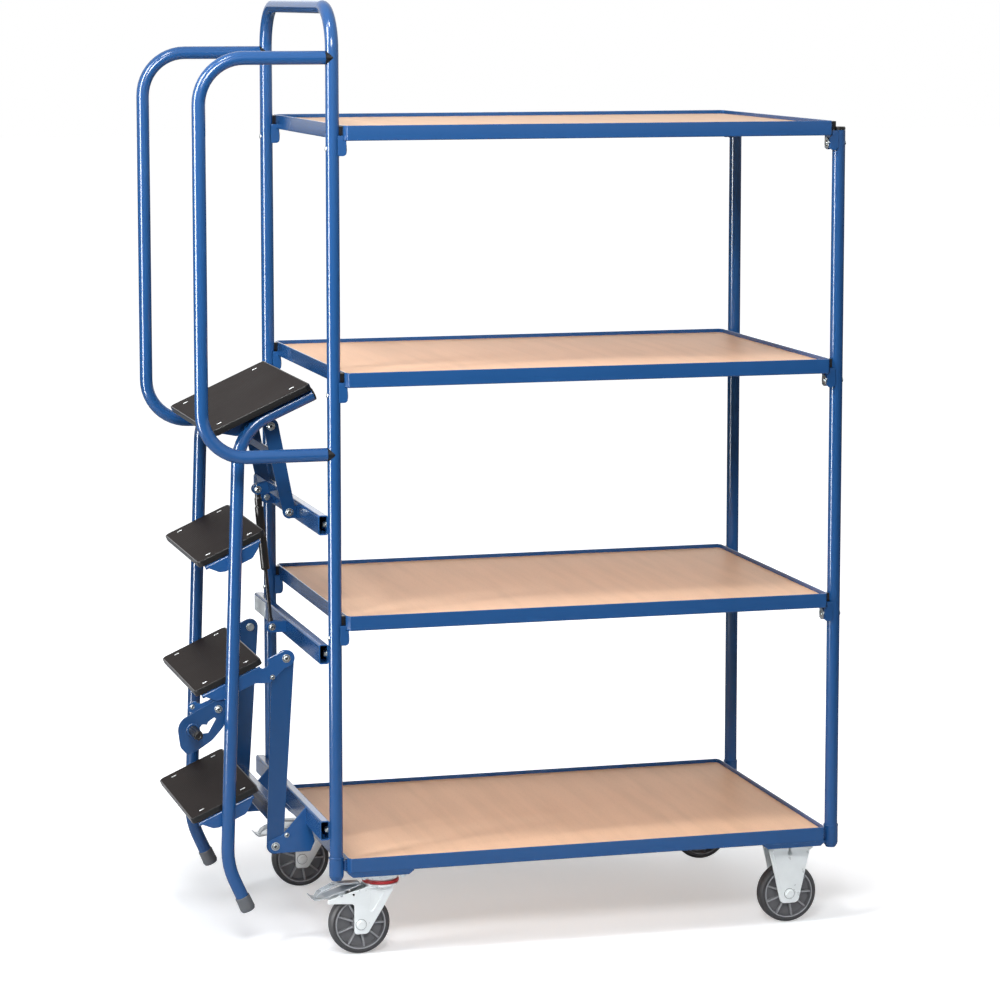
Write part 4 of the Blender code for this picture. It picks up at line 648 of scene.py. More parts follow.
def lathe(profile, place=(0, 0, 0), axis=(0, 0, 1), sides=40, base=None):
    """A piece turned from (radius, height, corner radius) points about an axis at a place."""
    solid = profile[0][0] == 0 and profile[-1][0] == 0
    points = rounded([(Vector((r, 0, h)), bend) for r, h, bend in profile], closed=not solid, arc=TURNED_ARC)
    shape = bmesh.new()
    rings = []
    for p in points:
        if p.x < ON_AXIS:
            rings.append([shape.verts.new((0, 0, p.z))])
        else:
            rings.append([shape.verts.new((p.x * math.cos(a), p.x * math.sin(a), p.z)) for a in turns(sides)])
    for ring_a, ring_b in zip(rings, rings[1:] if solid else rings[1:] + rings[:1]):
        joined(shape, ring_a, ring_b)
    tilt = Vector((0, 0, 1)).rotation_difference(Vector(axis)).to_matrix().to_4x4()
    matrix = Matrix.Translation(place) @ tilt
    return closed_mesh(shape, matrix if base is None else base @ matrix)


def disc(radius, low, high, bend=0.0005, **where):
    """A turned disc or short bar between two heights along its axis."""
    return lathe(((0, low, 0), (radius, low, bend), (radius, high, bend), (0, high, 0)), **where)


print("tubes of", round(TUBE * 2000, 1), "mm")

# %% [markdown]
# A pivot bolt shows a washer, a low round head and a hexagon socket. The head is zinc, and the
# shade in its socket and round the head is painted on a separate dark piece, so the function
# gives back both lists.

# %% Bolts
HEAD_SHARE, BORE_SHARE = 0.68, 0.36
WASHER_TOP, CROWN_TOP, SOCKET_FLOOR, SOCKET_TOP = 0.0010, 0.0031, 0.0012, 0.0021
NUT, SMALL_NUT, FLAT_NUT = (0.0075, 0.0062), (0.0058, 0.0052), (0.0062, 0.0030)


def pivot_bolt(place, axis, radius, base=None):
    """Washer and domed head, with painted shade as a dark ring round the head and in the socket."""
    where = {"place": place, "axis": axis, "base": base}
    head = radius * HEAD_SHARE
    bore = radius * BORE_SHARE
    hexagon = bore * 0.98
    washer = disc(radius, 0.0, WASHER_TOP, 0.0005, **where)
    crown = lathe(((0, 0.0005, 0), (head, 0.0005, 0), (head, 0.0018, 0.0006),
                   (bore * 1.35, CROWN_TOP, 0.0010), (bore, CROWN_TOP, 0.0002), (bore, SOCKET_FLOOR, 0),
                   (0, SOCKET_FLOOR, 0)), **where)
    # The seat ring and the hexagon in the socket are painted shade.
    seat = disc(head * 1.14, 0.0004, SOCKET_FLOOR, 0.0001, **where)
    socket = lathe(((0, WASHER_TOP, 0), (hexagon, WASHER_TOP, 0), (hexagon, SOCKET_TOP, 0),
                    (0, SOCKET_TOP, 0)), sides=6, **where)
    return [washer, crown], [seat, socket]


def hex_head(place, axis, radius, height, base=None):
    """A washer and a hexagon head with its top corners turned off."""
    where = {"place": place, "axis": axis, "base": base}
    washer = disc(radius * 1.15, 0.0, 0.0013, 0.0004, **where)
    head = lathe(((0, 0.001, 0), (radius, 0.001, 0), (radius, height * 0.86, 0),
                  (radius * 0.88, height, 0), (0, height, 0)), sides=6, **where)
    return [washer, head]


def pins(x, z, outer, radius, inner=None, nut=NUT, base=None):
    """A bolt on the outer face of each of two plates, with a nut on the inner face if asked."""
    zinc, dark = [], []
    for _, side in SIDES:
        head, socket = pivot_bolt((x, side * outer, z), (0, side, 0), radius, base=base)
        zinc += head
        dark += socket
        if inner:
            zinc += hex_head((x, side * inner, z), (0, -side, 0), *nut, base=base)
    return zinc, dark


print("a bolt of 8.5 mm has a head of", round(8.5 * HEAD_SHARE, 1), "mm")

# %% [markdown]
# Dressing joins the shapes of one finish into one piece. It shades the piece smoothly with
# its large faces kept flat, lets it ride on its body, and hides the CAD nodes it stands for.

# %% Dressing
SHARP = math.radians(40)


def dress(name, shapes, look, body, *nodes):
    """One finished piece from plain meshes."""
    whole = bmesh.new()
    for shape in shapes:
        whole.from_mesh(shape)
        bpy.data.meshes.remove(shape)
    mesh = bpy.data.meshes.new(name)
    whole.to_mesh(mesh)
    whole.free()
    mesh.materials.append(look)
    mesh.shade_smooth()
    mesh.set_sharp_from_angle(angle=SHARP)
    piece = bpy.data.objects.new(name, mesh)
    scene.collection.objects.link(piece)
    even = piece.modifiers.new("even_faces", "WEIGHTED_NORMAL")
    even.keep_sharp = True
    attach(piece, body)
    if nodes:
        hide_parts(*nodes)


def dress_bolted(name, body, steel, metal, look=BLUE):
    """A painted piece with its bolts, and the painted shade round their heads and in their sockets."""
    zinc, dark = metal
    dress(f"{name}_steel", steel, look, body, name)
    dress(f"{name}_bolts", zinc, BOLT, body)
    dress(f"{name}_sockets", dark, SHADE_BLACK, body)


def both(*metals):
    """Several pairs of zinc and painted shade shapes as one pair."""
    return ([shape for zinc, _ in metals for shape in zinc],
            [shape for _, dark in metals for shape in dark])


def tilted(x, z, degrees=0.0):
    """A frame whose origin is at a place in the middle plane, tilted about Y."""
    return Matrix.Translation((x, 0, z)) @ Matrix.Rotation(math.radians(degrees), 4, "Y")


def frame_between(start, end):
    """A frame at one pin whose Z axis points at another, and the distance between them."""
    across, up = end[0] - start[0], end[1] - start[1]
    return tilted(*start, math.degrees(math.atan2(across, up))), math.hypot(across, up)


def seen_from(base, place):
    """A place in the middle plane, as (x, z) in a tilted frame."""
    local = base.inverted() @ Vector((place[0], 0, place[1]))
    return local.x, local.z


LADDER = tilted(*LADDER_PIN, -LADDER_TILT)
print("the ladder leans by", LADDER_TILT, "degrees")

# %% [markdown]
# ## Shelf decks
# Each deck is a folded rim: an upright wall with a chamfered corner, and a ledge under the
# board. The wall is a small profile swept round the deck, with its fold rounded, because
# a box with a bevel would lose the thin bright line along its top edge.

# %% Deck rims
RIM_HIGH, RIM_WALL, LEDGE = 0.030, 0.0030, 0.030
ENDS = ((HOOP_X, SHELF_LOW_X, -1), (PLAIN_X, SHELF_HIGH_X, 1))
POSTS = [(end_x, face_x, end, side) for end_x, face_x, end in ENDS for _, side in SIDES]


def cut_corners(back, cut, deep):
    """The deck's outline moved in by a distance, with its corners cut straight across."""
    x_low, x_high, y = SHELF_LOW_X + back, SHELF_HIGH_X - back, SHELF_HALF - back
    corners = ((x_low + cut, -y), (x_high - cut, -y), (x_high, -y + deep), (x_high, y - deep),
               (x_high - cut, y), (x_low + cut, y), (x_low, y - deep), (x_low, -y + deep))
    return [Vector(corner) for corner in corners]


def deck_rim(top):
    """The upright wall as a swept profile, and the ledge as a flat frame."""
    low = top - RIM_HIGH
    foot = 0.0100
    profile = [(Vector((back, 0, z)), bend) for back, z, bend in (
        (0.0, low, 0.0025), (0.0, top, 0.0010), (RIM_WALL, top, 0.0010), (RIM_WALL, low + RIM_WALL, 0.0006),
        (foot, low + RIM_WALL, 0), (foot, low, 0))]
    shape = bmesh.new()
    mark = shape.faces.layers.float.new("edge")
    outline = [(Vector((p.x, p.y, 0)), 0.0022) for p in cut_corners(0.0, 0.0060, 0.0105)]
    rings = []
    for point in rounded(profile, arc=math.radians(30)):
        loop = [p.xy for p in rounded(outline, arc=math.radians(15))]
        rings.append([shape.verts.new((p.x, p.y, point.z)) for p in inset(loop, point.x)])
    for ring_a, ring_b in zip(rings, rings[1:] + rings[:1]):
        level = abs(ring_a[0].co.z - ring_b[0].co.z) < RIM_WALL / 2
        joined(shape, ring_a, ring_b, mark if level and ring_a[0].co.z > top - 0.002 else None)
    outer = [(p.x, p.y, 0.0) for p in cut_corners(0.0045, 0.0040, 0.0070)]
    hole = oblong(SHELF_LOW_X + LEDGE, SHELF_HIGH_X - LEDGE, -SHELF_HALF + LEDGE, SHELF_HALF - LEDGE)
    return [closed_mesh(shape), slab(outer, low, low + RIM_WALL, (hole,), edge=0.0008)]


print("posts at", [(round(x, 4), side) for x, _, _, side in POSTS])

# %% [markdown]
# A saddle of bent sheet hangs under the rim at each post. Its two cheeks hug the tube, its
# web carries the shelf bolt, and a black spacer fills the gap between rim and post. The
# twelve saddles differ only in where they are and which way they face, so one function with
# an end and a side makes them all.

# %% Saddles of the upper shelves
SADDLE_DROP, BOLT_DROP = 0.060, 0.046
SADDLE_OPEN, SADDLE_BACK, SADDLE_SHEET = 0.0074, 0.0056, 0.0022
SADDLE_CHEEK = (TUBE + 0.0003, TUBE + 0.0025)
ROUND_HEAD = ((0, 0.001, 0), (0.0064, 0.001, 0), (0.0058, 0.0034, 0.0012), (0, 0.0042, 0))
LOW_HEAD = ((0, -0.002, 0), (0.0056, -0.002, 0), (0.0050, 0.0008, 0.0012), (0, 0.0018, 0))


def saddle(end_x, face_x, end, side, top):
    """The two cheeks and the web of one saddle bracket."""
    y = side * POST_Y
    open_x = end_x - end * SADDLE_OPEN
    back_x = face_x - end * SADDLE_BACK
    high, under, low = top - 0.020, top - RIM_HIGH - 0.0002, top - SADDLE_DROP
    bend = 0.0030 if end < 0 else 0.0085
    outline = ((open_x, high, 0.001), (face_x, high, 0), (face_x, under, 0), (back_x, under, 0),
               (back_x, low, 0.0070), (open_x, low, bend))
    made = [plate(outline, y + s * SADDLE_CHEEK[0], y + s * SADDLE_CHEEK[1]) for s in (-1, 1)]
    web_x = sorted((back_x, back_x + end * SADDLE_SHEET))
    made.append(block((web_x[0], y - 0.0155, low + 0.0035), (web_x[1], y + 0.0155, top - RIM_HIGH)))
    return made


for name, top in TOPS.items():
    if name == "deck_frame":
        continue
    steel = deck_rim(top)
    spacers = []
    zinc = []
    for end_x, face_x, end, side in POSTS:
        y = side * POST_Y
        steel += saddle(end_x, face_x, end, side, top)
        gap = sorted((face_x - end * 0.0005, end_x - end * 0.009))
        spacers.append(block((gap[0], y - 0.0070, top - 0.0195), (gap[1], y + 0.0070, top - 0.0015), 0.001))
        bolt_z = top - BOLT_DROP
        inside = {"place": (face_x - end * SADDLE_BACK, y, bolt_z), "axis": (-end, 0, 0)}
        zinc += [disc(0.0122, 0.0, 0.0020, 0.0006, **inside), lathe(ROUND_HEAD, **inside)]
        steel.append(disc(0.006, 0.0, 0.0095, place=(face_x - end * 0.004, y, bolt_z), axis=(end, 0, 0)))
        zinc.append(lathe(LOW_HEAD, place=(end_x + end * (TUBE + 0.0001), y, bolt_z), axis=(end, 0, 0)))
    dress(f"{name}_steel", steel, BLUE, "trolley", name)
    dress(f"{name}_spacers", spacers, BLACK, "trolley")
    dress(f"{name}_bolts", zinc, BOLT, "trolley")

# %% [markdown]
# The bottom deck has no saddles. Its posts stand in turned cups that are webbed to the rim,
# and a folded tray under each corner takes a castor. The tray's outer side leans inwards
# from the rim, which a skewed frame gives to its plain flat shape.

# %% Bottom deck
TRAY_LOW, TRAY_HIGH, TRAY_LONG, TRAY_WIDE = 0.1695, 0.1815, 0.136, 0.106
TRAY_LEAN, TRAY_SHEET = 0.36, 0.003
CUP = ((0, 0.1620, 0), (0.0100, 0.1620, 0.0015), (0.01490, 0.1715, 0.004), (0.01490, 0.2065, 0.0003),
       (0.01550, 0.2070, 0.0003), (0.01550, 0.2105, 0.0006), (0.01375, 0.2110, 0.0004), (0.01375, 0.1675, 0),
       (0, 0.1675, 0))
steel = deck_rim(TOPS["deck_frame"])
for end_x, face_x, end, side in POSTS:
    y = side * POST_Y
    steel.append(lathe(CUP, place=(end_x, y, 0)))
    web = sorted((face_x - end * 0.001, end_x - end * 0.0146))
    steel.append(block((web[0], y - 0.007, TRAY_HIGH), (web[1], y + 0.007, 0.2030), 0.001))
    far_x = face_x - end * 0.0005
    x_low, x_high = sorted((far_x, far_x - end * TRAY_LONG))
    wall_y = side * (SHELF_HALF - 0.0005)
    outside = ((x_low, TRAY_HIGH, 0), (x_low, TRAY_LOW + 0.008, 0.002), (x_low + 0.010, TRAY_LOW, 0.003),
               (x_high - 0.010, TRAY_LOW, 0.003), (x_high, TRAY_LOW + 0.008, 0.002), (x_high, TRAY_HIGH, 0))
    inside = ((x_low + TRAY_SHEET, TRAY_HIGH, 0), (x_low + TRAY_SHEET, TRAY_LOW + 0.0095, 0.001),
              (x_low + 0.0112, TRAY_LOW + TRAY_SHEET, 0.001), (x_high - 0.0112, TRAY_LOW + TRAY_SHEET, 0.001),
              (x_high - TRAY_SHEET, TRAY_LOW + 0.0095, 0.001), (x_high - TRAY_SHEET, TRAY_HIGH, 0))
    slope = side * TRAY_LEAN
    lean = Matrix(((1, 0, 0, 0), (0, 1, slope, -slope * TRAY_HIGH), (0, 0, 1, 0), (0, 0, 0, 1)))
    steel.append(plate(outside, wall_y - side * 0.0004, wall_y - side * 0.0064, edge=0.0020, base=lean))
    steel.append(plate(outside + inside[::-1], wall_y - side * TRAY_WIDE, wall_y - side * 0.0040))
dress("deck_frame_steel", steel, BLUE, "trolley", "deck_frame")
print("a tray is", TRAY_LONG * 1000, "mm long")

# %% [markdown]
# The boards lie inside the rims. They follow the rim's own outline a few millimetres further
# in, and a thin rounded edge catches the light where they end.

# %% Boards
BOARD_THICK, BOARD_DROP = 0.019, 0.0267
BOARDS = dict(zip(("deck_board", "shelf_board_1", "shelf_board_2", "shelf_board_3"), TOPS.values()))
outline = [(p.x, p.y, 0.0) for p in cut_corners(BOARD_BACK, 0.0048, 0.0084)]
for name, top in BOARDS.items():
    low = top - BOARD_DROP
    dress(f"{name}_wood", [slab(outline, low, low + BOARD_THICK, edge=0.0007)], BEECH, "trolley", name)
print("boards:", list(BOARDS))

# %% [markdown]
# ## Hoop, posts and guard rails
# All of these are one size of round tube, bent cold, so each is one bar swept along its
# route, and the bend's radius belongs to the corner. The posts end in black plugs, which
# are turned pieces between the heights that the CAD's caps have.

# %% Hoop and posts
HOOP_HIGH, HOOP_BEND = 1.9199, 0.085
HOOP_TOP = HOOP_HIGH - TUBE
hoop = pipe(((HOOP_X, -POST_Y, POST_FOOT, 0), (HOOP_X, -POST_Y, HOOP_TOP, HOOP_BEND),
             (HOOP_X, POST_Y, HOOP_TOP, HOOP_BEND), (HOOP_X, POST_Y, POST_FOOT, 0)), TUBE)
dress("end_hoop_tube", [hoop], BLUE, "trolley", "end_hoop")
cap_low, cap_high = (corner.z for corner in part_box("post_cap_far"))
PLUG = ((0, cap_low, 0), (TUBE, cap_low, 0.0003), (TUBE, cap_high, 0.0028), (0, cap_high, 0))
for word, side in SIDES:
    y = side * POST_Y
    post = pipe(((PLAIN_X, y, POST_FOOT, 0), (PLAIN_X, y, POST_TOP, 0)), TUBE)
    dress(f"post_{word}_tube", [post], BLUE, "trolley", f"post_{word}")
    dress(f"post_cap_{word}_plug", [lathe(PLUG, place=(PLAIN_X, y, 0))], BLACK, "trolley", f"post_cap_{word}")
print("the hoop is", HOOP_HIGH, "m high")

# %% [markdown]
# The guard rails are bent from the same tube. Their ends carry black saddle pads, and the
# pad's end face follows the round of the hoop, so that no gap shows between the two.

# %% Guard rails
GUARD_START = HOOP_X - TUBE - 0.0008
GUARD_OUT, GUARD_BEND = 0.2654, 0.090
guard_low, guard_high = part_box("guard_rail_far")
GUARD_LEVELS = (("lower", guard_low.z + TUBE), ("upper", guard_high.z - TUBE))


def seated_pad(y, z, sides=48):
    """A plug on the end of a level tube, cut to a seat that hugs the upright tube."""
    reach = TUBE + 0.0002
    flat_x = GUARD_START + 0.0003
    shape = bmesh.new()
    around = turns(sides)
    flat = [shape.verts.new((flat_x, y + reach * math.sin(a), z + reach * math.cos(a))) for a in around]
    seat = [shape.verts.new((HOOP_X - TUBE * abs(math.cos(a)) + 0.0004, v.co.y, v.co.z))
            for a, v in zip(around, flat)]
    joined(shape, flat, seat)
    shape.faces.new(flat)
    for k in range(sides // 2):
        ring = (seat[k], seat[k + 1], seat[-k - 1], seat[-k] if k else seat[0])
        shape.faces.new([v for n, v in enumerate(ring) if v is not ring[n - 1]])
    return closed_mesh(shape)


for word, side in SIDES:
    y = side * POST_Y
    low_z, high_z = (z for _, z in GUARD_LEVELS)
    out = HOOP_X - GUARD_OUT
    tube = pipe(((GUARD_START, y, low_z, 0), (out, y, low_z, GUARD_BEND), (out, y, high_z, GUARD_BEND),
                 (GUARD_START, y, high_z, 0)), TUBE)
    dress(f"guard_rail_{word}_tube", [tube], BLUE, "trolley", f"guard_rail_{word}")
    for level, z in GUARD_LEVELS:
        pad = f"guard_pad_{word}_{level}"
        dress(f"{pad}_plug", [seated_pad(y, z)], BLACK, "trolley", pad)

# %% [markdown]
# ## Cross rails with their pivots
# Three rectangular tubes are bolted across the hoop. Their ends are open, so the bolt head
# inside and the rounded tube corners show. A hollow section with a hole through it gives
# both at once, where a plain block would need its ends cut out.

# %% Rail tubes and eyes
rail_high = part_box("upper_cross_rail")[1]
RAIL_IN, RAIL_HALF = rail_high.x, rail_high.y
RAIL_DEEP, RAIL_HALF_HIGH, RAIL_WALL = 0.020, 0.020, 0.0025
RAIL_OUT = RAIL_IN - RAIL_DEEP
UPPER_Z, MIDDLE_Z, LOWER_Z = (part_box(f"{name}_cross_rail")[1].z - RAIL_HALF_HIGH
                              for name in ("upper", "middle", "lower"))
EAR = (0.1077, 0.1117)
CHEEK = (0.0048, 0.0088)
HEAD_NUT_Y, ARM_NUT_Y = 0.1076, 0.1806
PIVOT_BOLT, BIG_BOLT, SMALL_BOLT = 0.0085, 0.0088, 0.0052


def cross_rail(z):
    """An open rectangular tube and the two bolts in its ends."""
    outer = oblong(RAIL_OUT, RAIL_IN, z - RAIL_HALF_HIGH, z + RAIL_HALF_HIGH, 0.0046)
    hole_high = RAIL_HALF_HIGH - RAIL_WALL
    hole = oblong(RAIL_OUT + RAIL_WALL, RAIL_IN - RAIL_WALL, z - hole_high, z + hole_high, 0.0024)
    bolts = []
    for _, side in SIDES:
        bolts += hex_head((RAIL_IN - 0.0026, side * 0.3105, z), (-1, 0, 0), 0.0065, 0.0062)
    return [plate(outer, -RAIL_HALF, RAIL_HALF, (hole,), edge=0.0005)], (bolts, [])


def eye(x, z, radius, root_x, span, base=None):
    """A plate from a straight root to a round eye."""
    outline = ((root_x, z - radius, 0), (root_x, z + radius, 0), (x - radius, z + radius, radius * FULL),
               (x - radius, z - radius, radius * FULL))
    return plate(outline, *span, base=base)


def both_sides(inner, outer):
    """The two Y spans of a pair of plates."""
    return [(side * inner, side * outer) for _, side in SIDES]


def gas_pin(x, z, nut, base=None):
    """The pin through the two cheeks of the gas spring, with its head in front."""
    face = CHEEK[1] + 0.0001
    head, socket = pivot_bolt((x, -face, z), (0, -1, 0), 0.0075, base=base)
    return head + hex_head((x, face, z), (0, 1, 0), *nut, base=base), socket


print("rails at", [round(z, 3) for z in (UPPER_Z, MIDDLE_Z, LOWER_Z)])

# %% [markdown]
# Each rail carries the fixed pivots of one link, on small plates that end in a round eye.
# The middle one also has a riveted plate, which is left blank.

# %% Upper and middle rail
root = RAIL_OUT + 0.001
steel, bolts = cross_rail(UPPER_Z)
steel += [eye(*HEAD_PIN, 0.013, root, span) for span in both_sides(*EAR)]
dress_bolted("upper_cross_rail", "trolley", steel,
             both(bolts, pins(*HEAD_PIN, 0.1163, PIVOT_BOLT, HEAD_NUT_Y, SMALL_NUT)))

steel, bolts = cross_rail(MIDDLE_Z)
steel += [eye(*GAS_PIN, 0.012, root, span) for span in both_sides(*CHEEK)]
zinc, dark = both(bolts, gas_pin(*GAS_PIN, (0.0062, 0.0050)))
blank = [block((RAIL_OUT - 0.0007, 0.206, MIDDLE_Z - 0.0155), (RAIL_OUT + 0.0003, 0.312, MIDDLE_Z + 0.0155),
               0.0003, 0.0012)]
blank += [disc(0.0022, 0.0, 0.0008, place=(RAIL_OUT - 0.0006, y, MIDDLE_Z), axis=(-1, 0, 0))
          for y in (0.211, 0.307)]
dress("middle_cross_rail_steel", steel, BLUE, "trolley", "middle_cross_rail")
dress("middle_cross_rail_bolts", zinc, BOLT, "trolley")
dress("middle_cross_rail_plate", blank, ZINC, "trolley")
# The middle rail's dark pieces are painted shade at its bolts.
dress("middle_cross_rail_sockets", dark, SHADE_BLACK, "trolley")

# %% [markdown]
# The lower rail holds the ladder up. Two large brackets are cut from flat plate and welded
# to it, each with the long link's pin and a small stop bolt. Their outline is given from
# the pin and the rail's faces, so that it stays right if either moves.

# %% Lower rail and its two large brackets
BRACKET = (0.18495, 0.18895)
STOP = (0.0235, 0.0225)
x, z = FOOT_PIN
r = 0.0145
rail_top, rail_under = LOWER_Z + RAIL_HALF_HIGH, LOWER_Z - 0.019
bracket = ((x - r, z - r, r * 0.99), (x - r, z + 0.012, r / 2), (x + r, z + STOP[1], r),
           (RAIL_OUT, rail_top, 0), (root, rail_top - 0.001, 0), (root, rail_under, 0),
           (RAIL_OUT + 0.010, rail_under, 0), (RAIL_OUT + 0.018, z + 0.006, r / 2),
           (RAIL_OUT + 0.009, z - r, r / 4))
steel, bolts = cross_rail(LOWER_Z)
steel += [plate(bracket, *span) for span in both_sides(*BRACKET)]
dress_bolted("lower_cross_rail", "trolley", steel,
             both(bolts, pins(x, z, BRACKET[1], BIG_BOLT, ARM_NUT_Y),
                  pins(x + STOP[0], z + STOP[1], BRACKET[1], SMALL_BOLT)))

# %% [markdown]
# ## Four-bar linkage and gas spring
# The lower link carries the ladder's foot end, the upper link its head, and the gas spring
# between middle rail and upper link balances the weight. Each link is drawn upright in a
# frame of its own, from pin to pin, which keeps its outline simple.

# %% Lower link
LOWER, length = frame_between(FOOT_PIN, LADDER_PIN)
CHANNEL_LOW, CHANNEL_HIGH, CHANNEL_SHEET = 0.050, 0.090, 0.0025
s = 0.0168
outline = ((-s, -s, s * NEARLY), (s, -s, s * NEARLY), (s, length + s, s * NEARLY),
           (-s, length + s, s * NEARLY), (-0.028, length - 0.048, 0.028))
steel = [plate(outline, *span, base=LOWER) for span in both_sides(0.18065, 0.18465)]
left, right = -0.01555, 0.00445
inner = right - CHANNEL_SHEET
channel = ((left, CHANNEL_LOW, 0.0012), (right, CHANNEL_LOW, 0.003), (right, CHANNEL_HIGH, 0.003),
           (left, CHANNEL_HIGH, 0.0012), (left, CHANNEL_HIGH - CHANNEL_SHEET, 0),
           (inner, CHANNEL_HIGH - CHANNEL_SHEET, 0.001), (inner, CHANNEL_LOW + CHANNEL_SHEET, 0.001),
           (left, CHANNEL_LOW + CHANNEL_SHEET, 0))
steel.append(plate(channel, -0.1812, 0.1812, base=LOWER))
# The lower link takes the darker blue, a painted shade.
dress("lower_link_steel", steel, SHADED_LINK_BLUE, "lower_link", "lower_link")
print("lower link, pin to pin:", round(length, 4), "m")

# %% [markdown]
# The upper link is a pair of tapered arms that two strips hold together. A lug between them
# takes the head of the gas spring. It stands where the spring's pin is when the ladder is
# up, and that place is turned into the arm's own frame.

# %% Upper link
EYE_PIN = (-0.4826, 1.061)
GAS_HEAD = (-0.4889, 0.917)
UPPER, length = frame_between(HEAD_PIN, EYE_PIN)
foot, head = 0.013, 0.016
foot_round, head_round = foot - HAIR, head - HAIR
outline = ((-foot, -foot, foot_round), (foot, -foot, foot_round), (head, length + head, head_round),
           (-head, length + head, head_round))
ARM = (0.112, 0.116)
steel = [plate(outline, *span, base=UPPER) for span in both_sides(*ARM)]
for low, high in ((length * 0.66, length * 0.66 + 0.018), (0.03006, 0.05406)):
    steel.append(block((-foot, -0.113, low), (-0.0095, 0.113, high), 0.0008, base=UPPER))
lug_x, lug_z = seen_from(UPPER, GAS_HEAD)
steel += [eye(lug_x, lug_z, 0.011, -0.012, span, base=UPPER) for span in both_sides(*CHEEK)]
metal = both(pins(0, length, ARM[1], PIVOT_BOLT, HEAD_NUT_Y, base=UPPER),
             gas_pin(lug_x, lug_z, FLAT_NUT, UPPER))
# The upper link takes the darker blue, a painted shade.
dress_bolted("upper_link", "upper_link", steel, metal, SHADED_LINK_BLUE)
print("upper link, pin to pin:", round(length, 4), "m")

# %% [markdown]
# A gas spring is a black enamelled cylinder on a thin dark rod. Both are turned about one
# line between the two pins, so they stay in line whatever the two places are. Their eyes
# are small flat plates.

# %% Gas spring
SPRING, length = frame_between(GAS_PIN, GAS_HEAD)
EYE_HALF, EYE_ROUND = 0.0043, 0.008
foot_eye, head_eye = (plate(circle_at(0, z, EYE_ROUND), -EYE_HALF, EYE_HALF, edge=0.0008, base=SPRING)
                      for z in (0, length))
stem = lathe(((0, 0.006, 0), (0.0052, 0.006, 0.0006), (0.0052, 0.016, 0.0010), (0.0040, 0.018, 0.001),
              (0.0040, 0.140, 0), (0, 0.140, 0)), base=SPRING)
dress("gas_spring_rod_steel", [foot_eye, stem], ROD, "gas_rod", "gas_spring_rod")
shell = lathe(((0.0043, 0.1204, 0.001), (0.0084, 0.1204, 0.0022), (0.0090, 0.1250, 0.001),
               (0.0090, 0.2520, 0.001), (0.00700, 0.2540, 0.0006), (0.00700, 0.2560, 0.0006),
               (0.00775, 0.2572, 0.0006), (0.00760, 0.2700, 0.0012), (0.0060, 0.2740, 0.0012),
               (0.0060, 0.2860, 0), (0.0043, 0.2860, 0)), base=SPRING)
neck = disc(0.0058, 0.2560, 0.2860, 0.0004, base=SPRING)
dress("gas_spring_cylinder_shell", [shell, neck, head_eye], GAS, "gas_cylinder", "gas_spring_cylinder")
print("gas spring, pin to pin:", round(length, 4), "m")

# %% [markdown]
# ## The step ladder
# Its own frame is tilted, so that the treads are level there. The stiles are the same tube
# as the hoop, with plugs at their tops and rubber ferrules at their feet.

# %% Stiles
STILE_Y = 0.2017
FOOT_X, FOOT_Z, KNEE_Z = -0.28770, -0.4270, -0.3278
TOP_X, TOP_Z, TOP_END = 0.10458, 0.46942, 0.26998
LEAN = (TOP_X - FOOT_X) / (TOP_Z - KNEE_Z)
FERRULE = ((0, -0.4323, 0), (0.0138, -0.4323, 0.0012), (0.0150, -0.4290, 0.001), (0.0159, -0.4270, 0.001),
           (0.0155, -0.4180, 0.0015), (0.0151, -0.4060, 0.001), (0.0153, -0.4040, 0.0008),
           (0.0153, -0.4003, 0.0008), (0.01375, -0.4003, 0.0003), (0.01375, -0.4273, 0), (0, -0.4273, 0))
for word, side in SIDES:
    y = side * STILE_Y
    route = ((FOOT_X, y, FOOT_Z, 0), (FOOT_X, y, KNEE_Z, 0.150), (TOP_X, y, TOP_Z, 0.105),
             (TOP_END, y, TOP_Z, 0))
    dress(f"stile_{word}_tube", [pipe(route, TUBE, base=LADDER)], BLUE, "ladder", f"stile_{word}")
    cap = disc(TUBE, 0.2703, 0.2738, 0.0018, place=(0, y, TOP_Z), axis=(1, 0, 0), base=LADDER)
    dress(f"stile_cap_{word}_plug", [cap], BLACK, "ladder", f"stile_cap_{word}")
    ferrule = lathe(FERRULE, place=(FOOT_X, y, 0), base=LADDER)
    dress(f"foot_{word}_rubber", [ferrule], FOOT, "ladder", f"foot_{word}")

# %% [markdown]
# A tread is a film-faced board with a black moulded edge. Four light rivets hold it to the
# sheet support. The rivets are copies set on points by a small geometry node group, which
# also lays out the ribs of the wheel hubs further on.

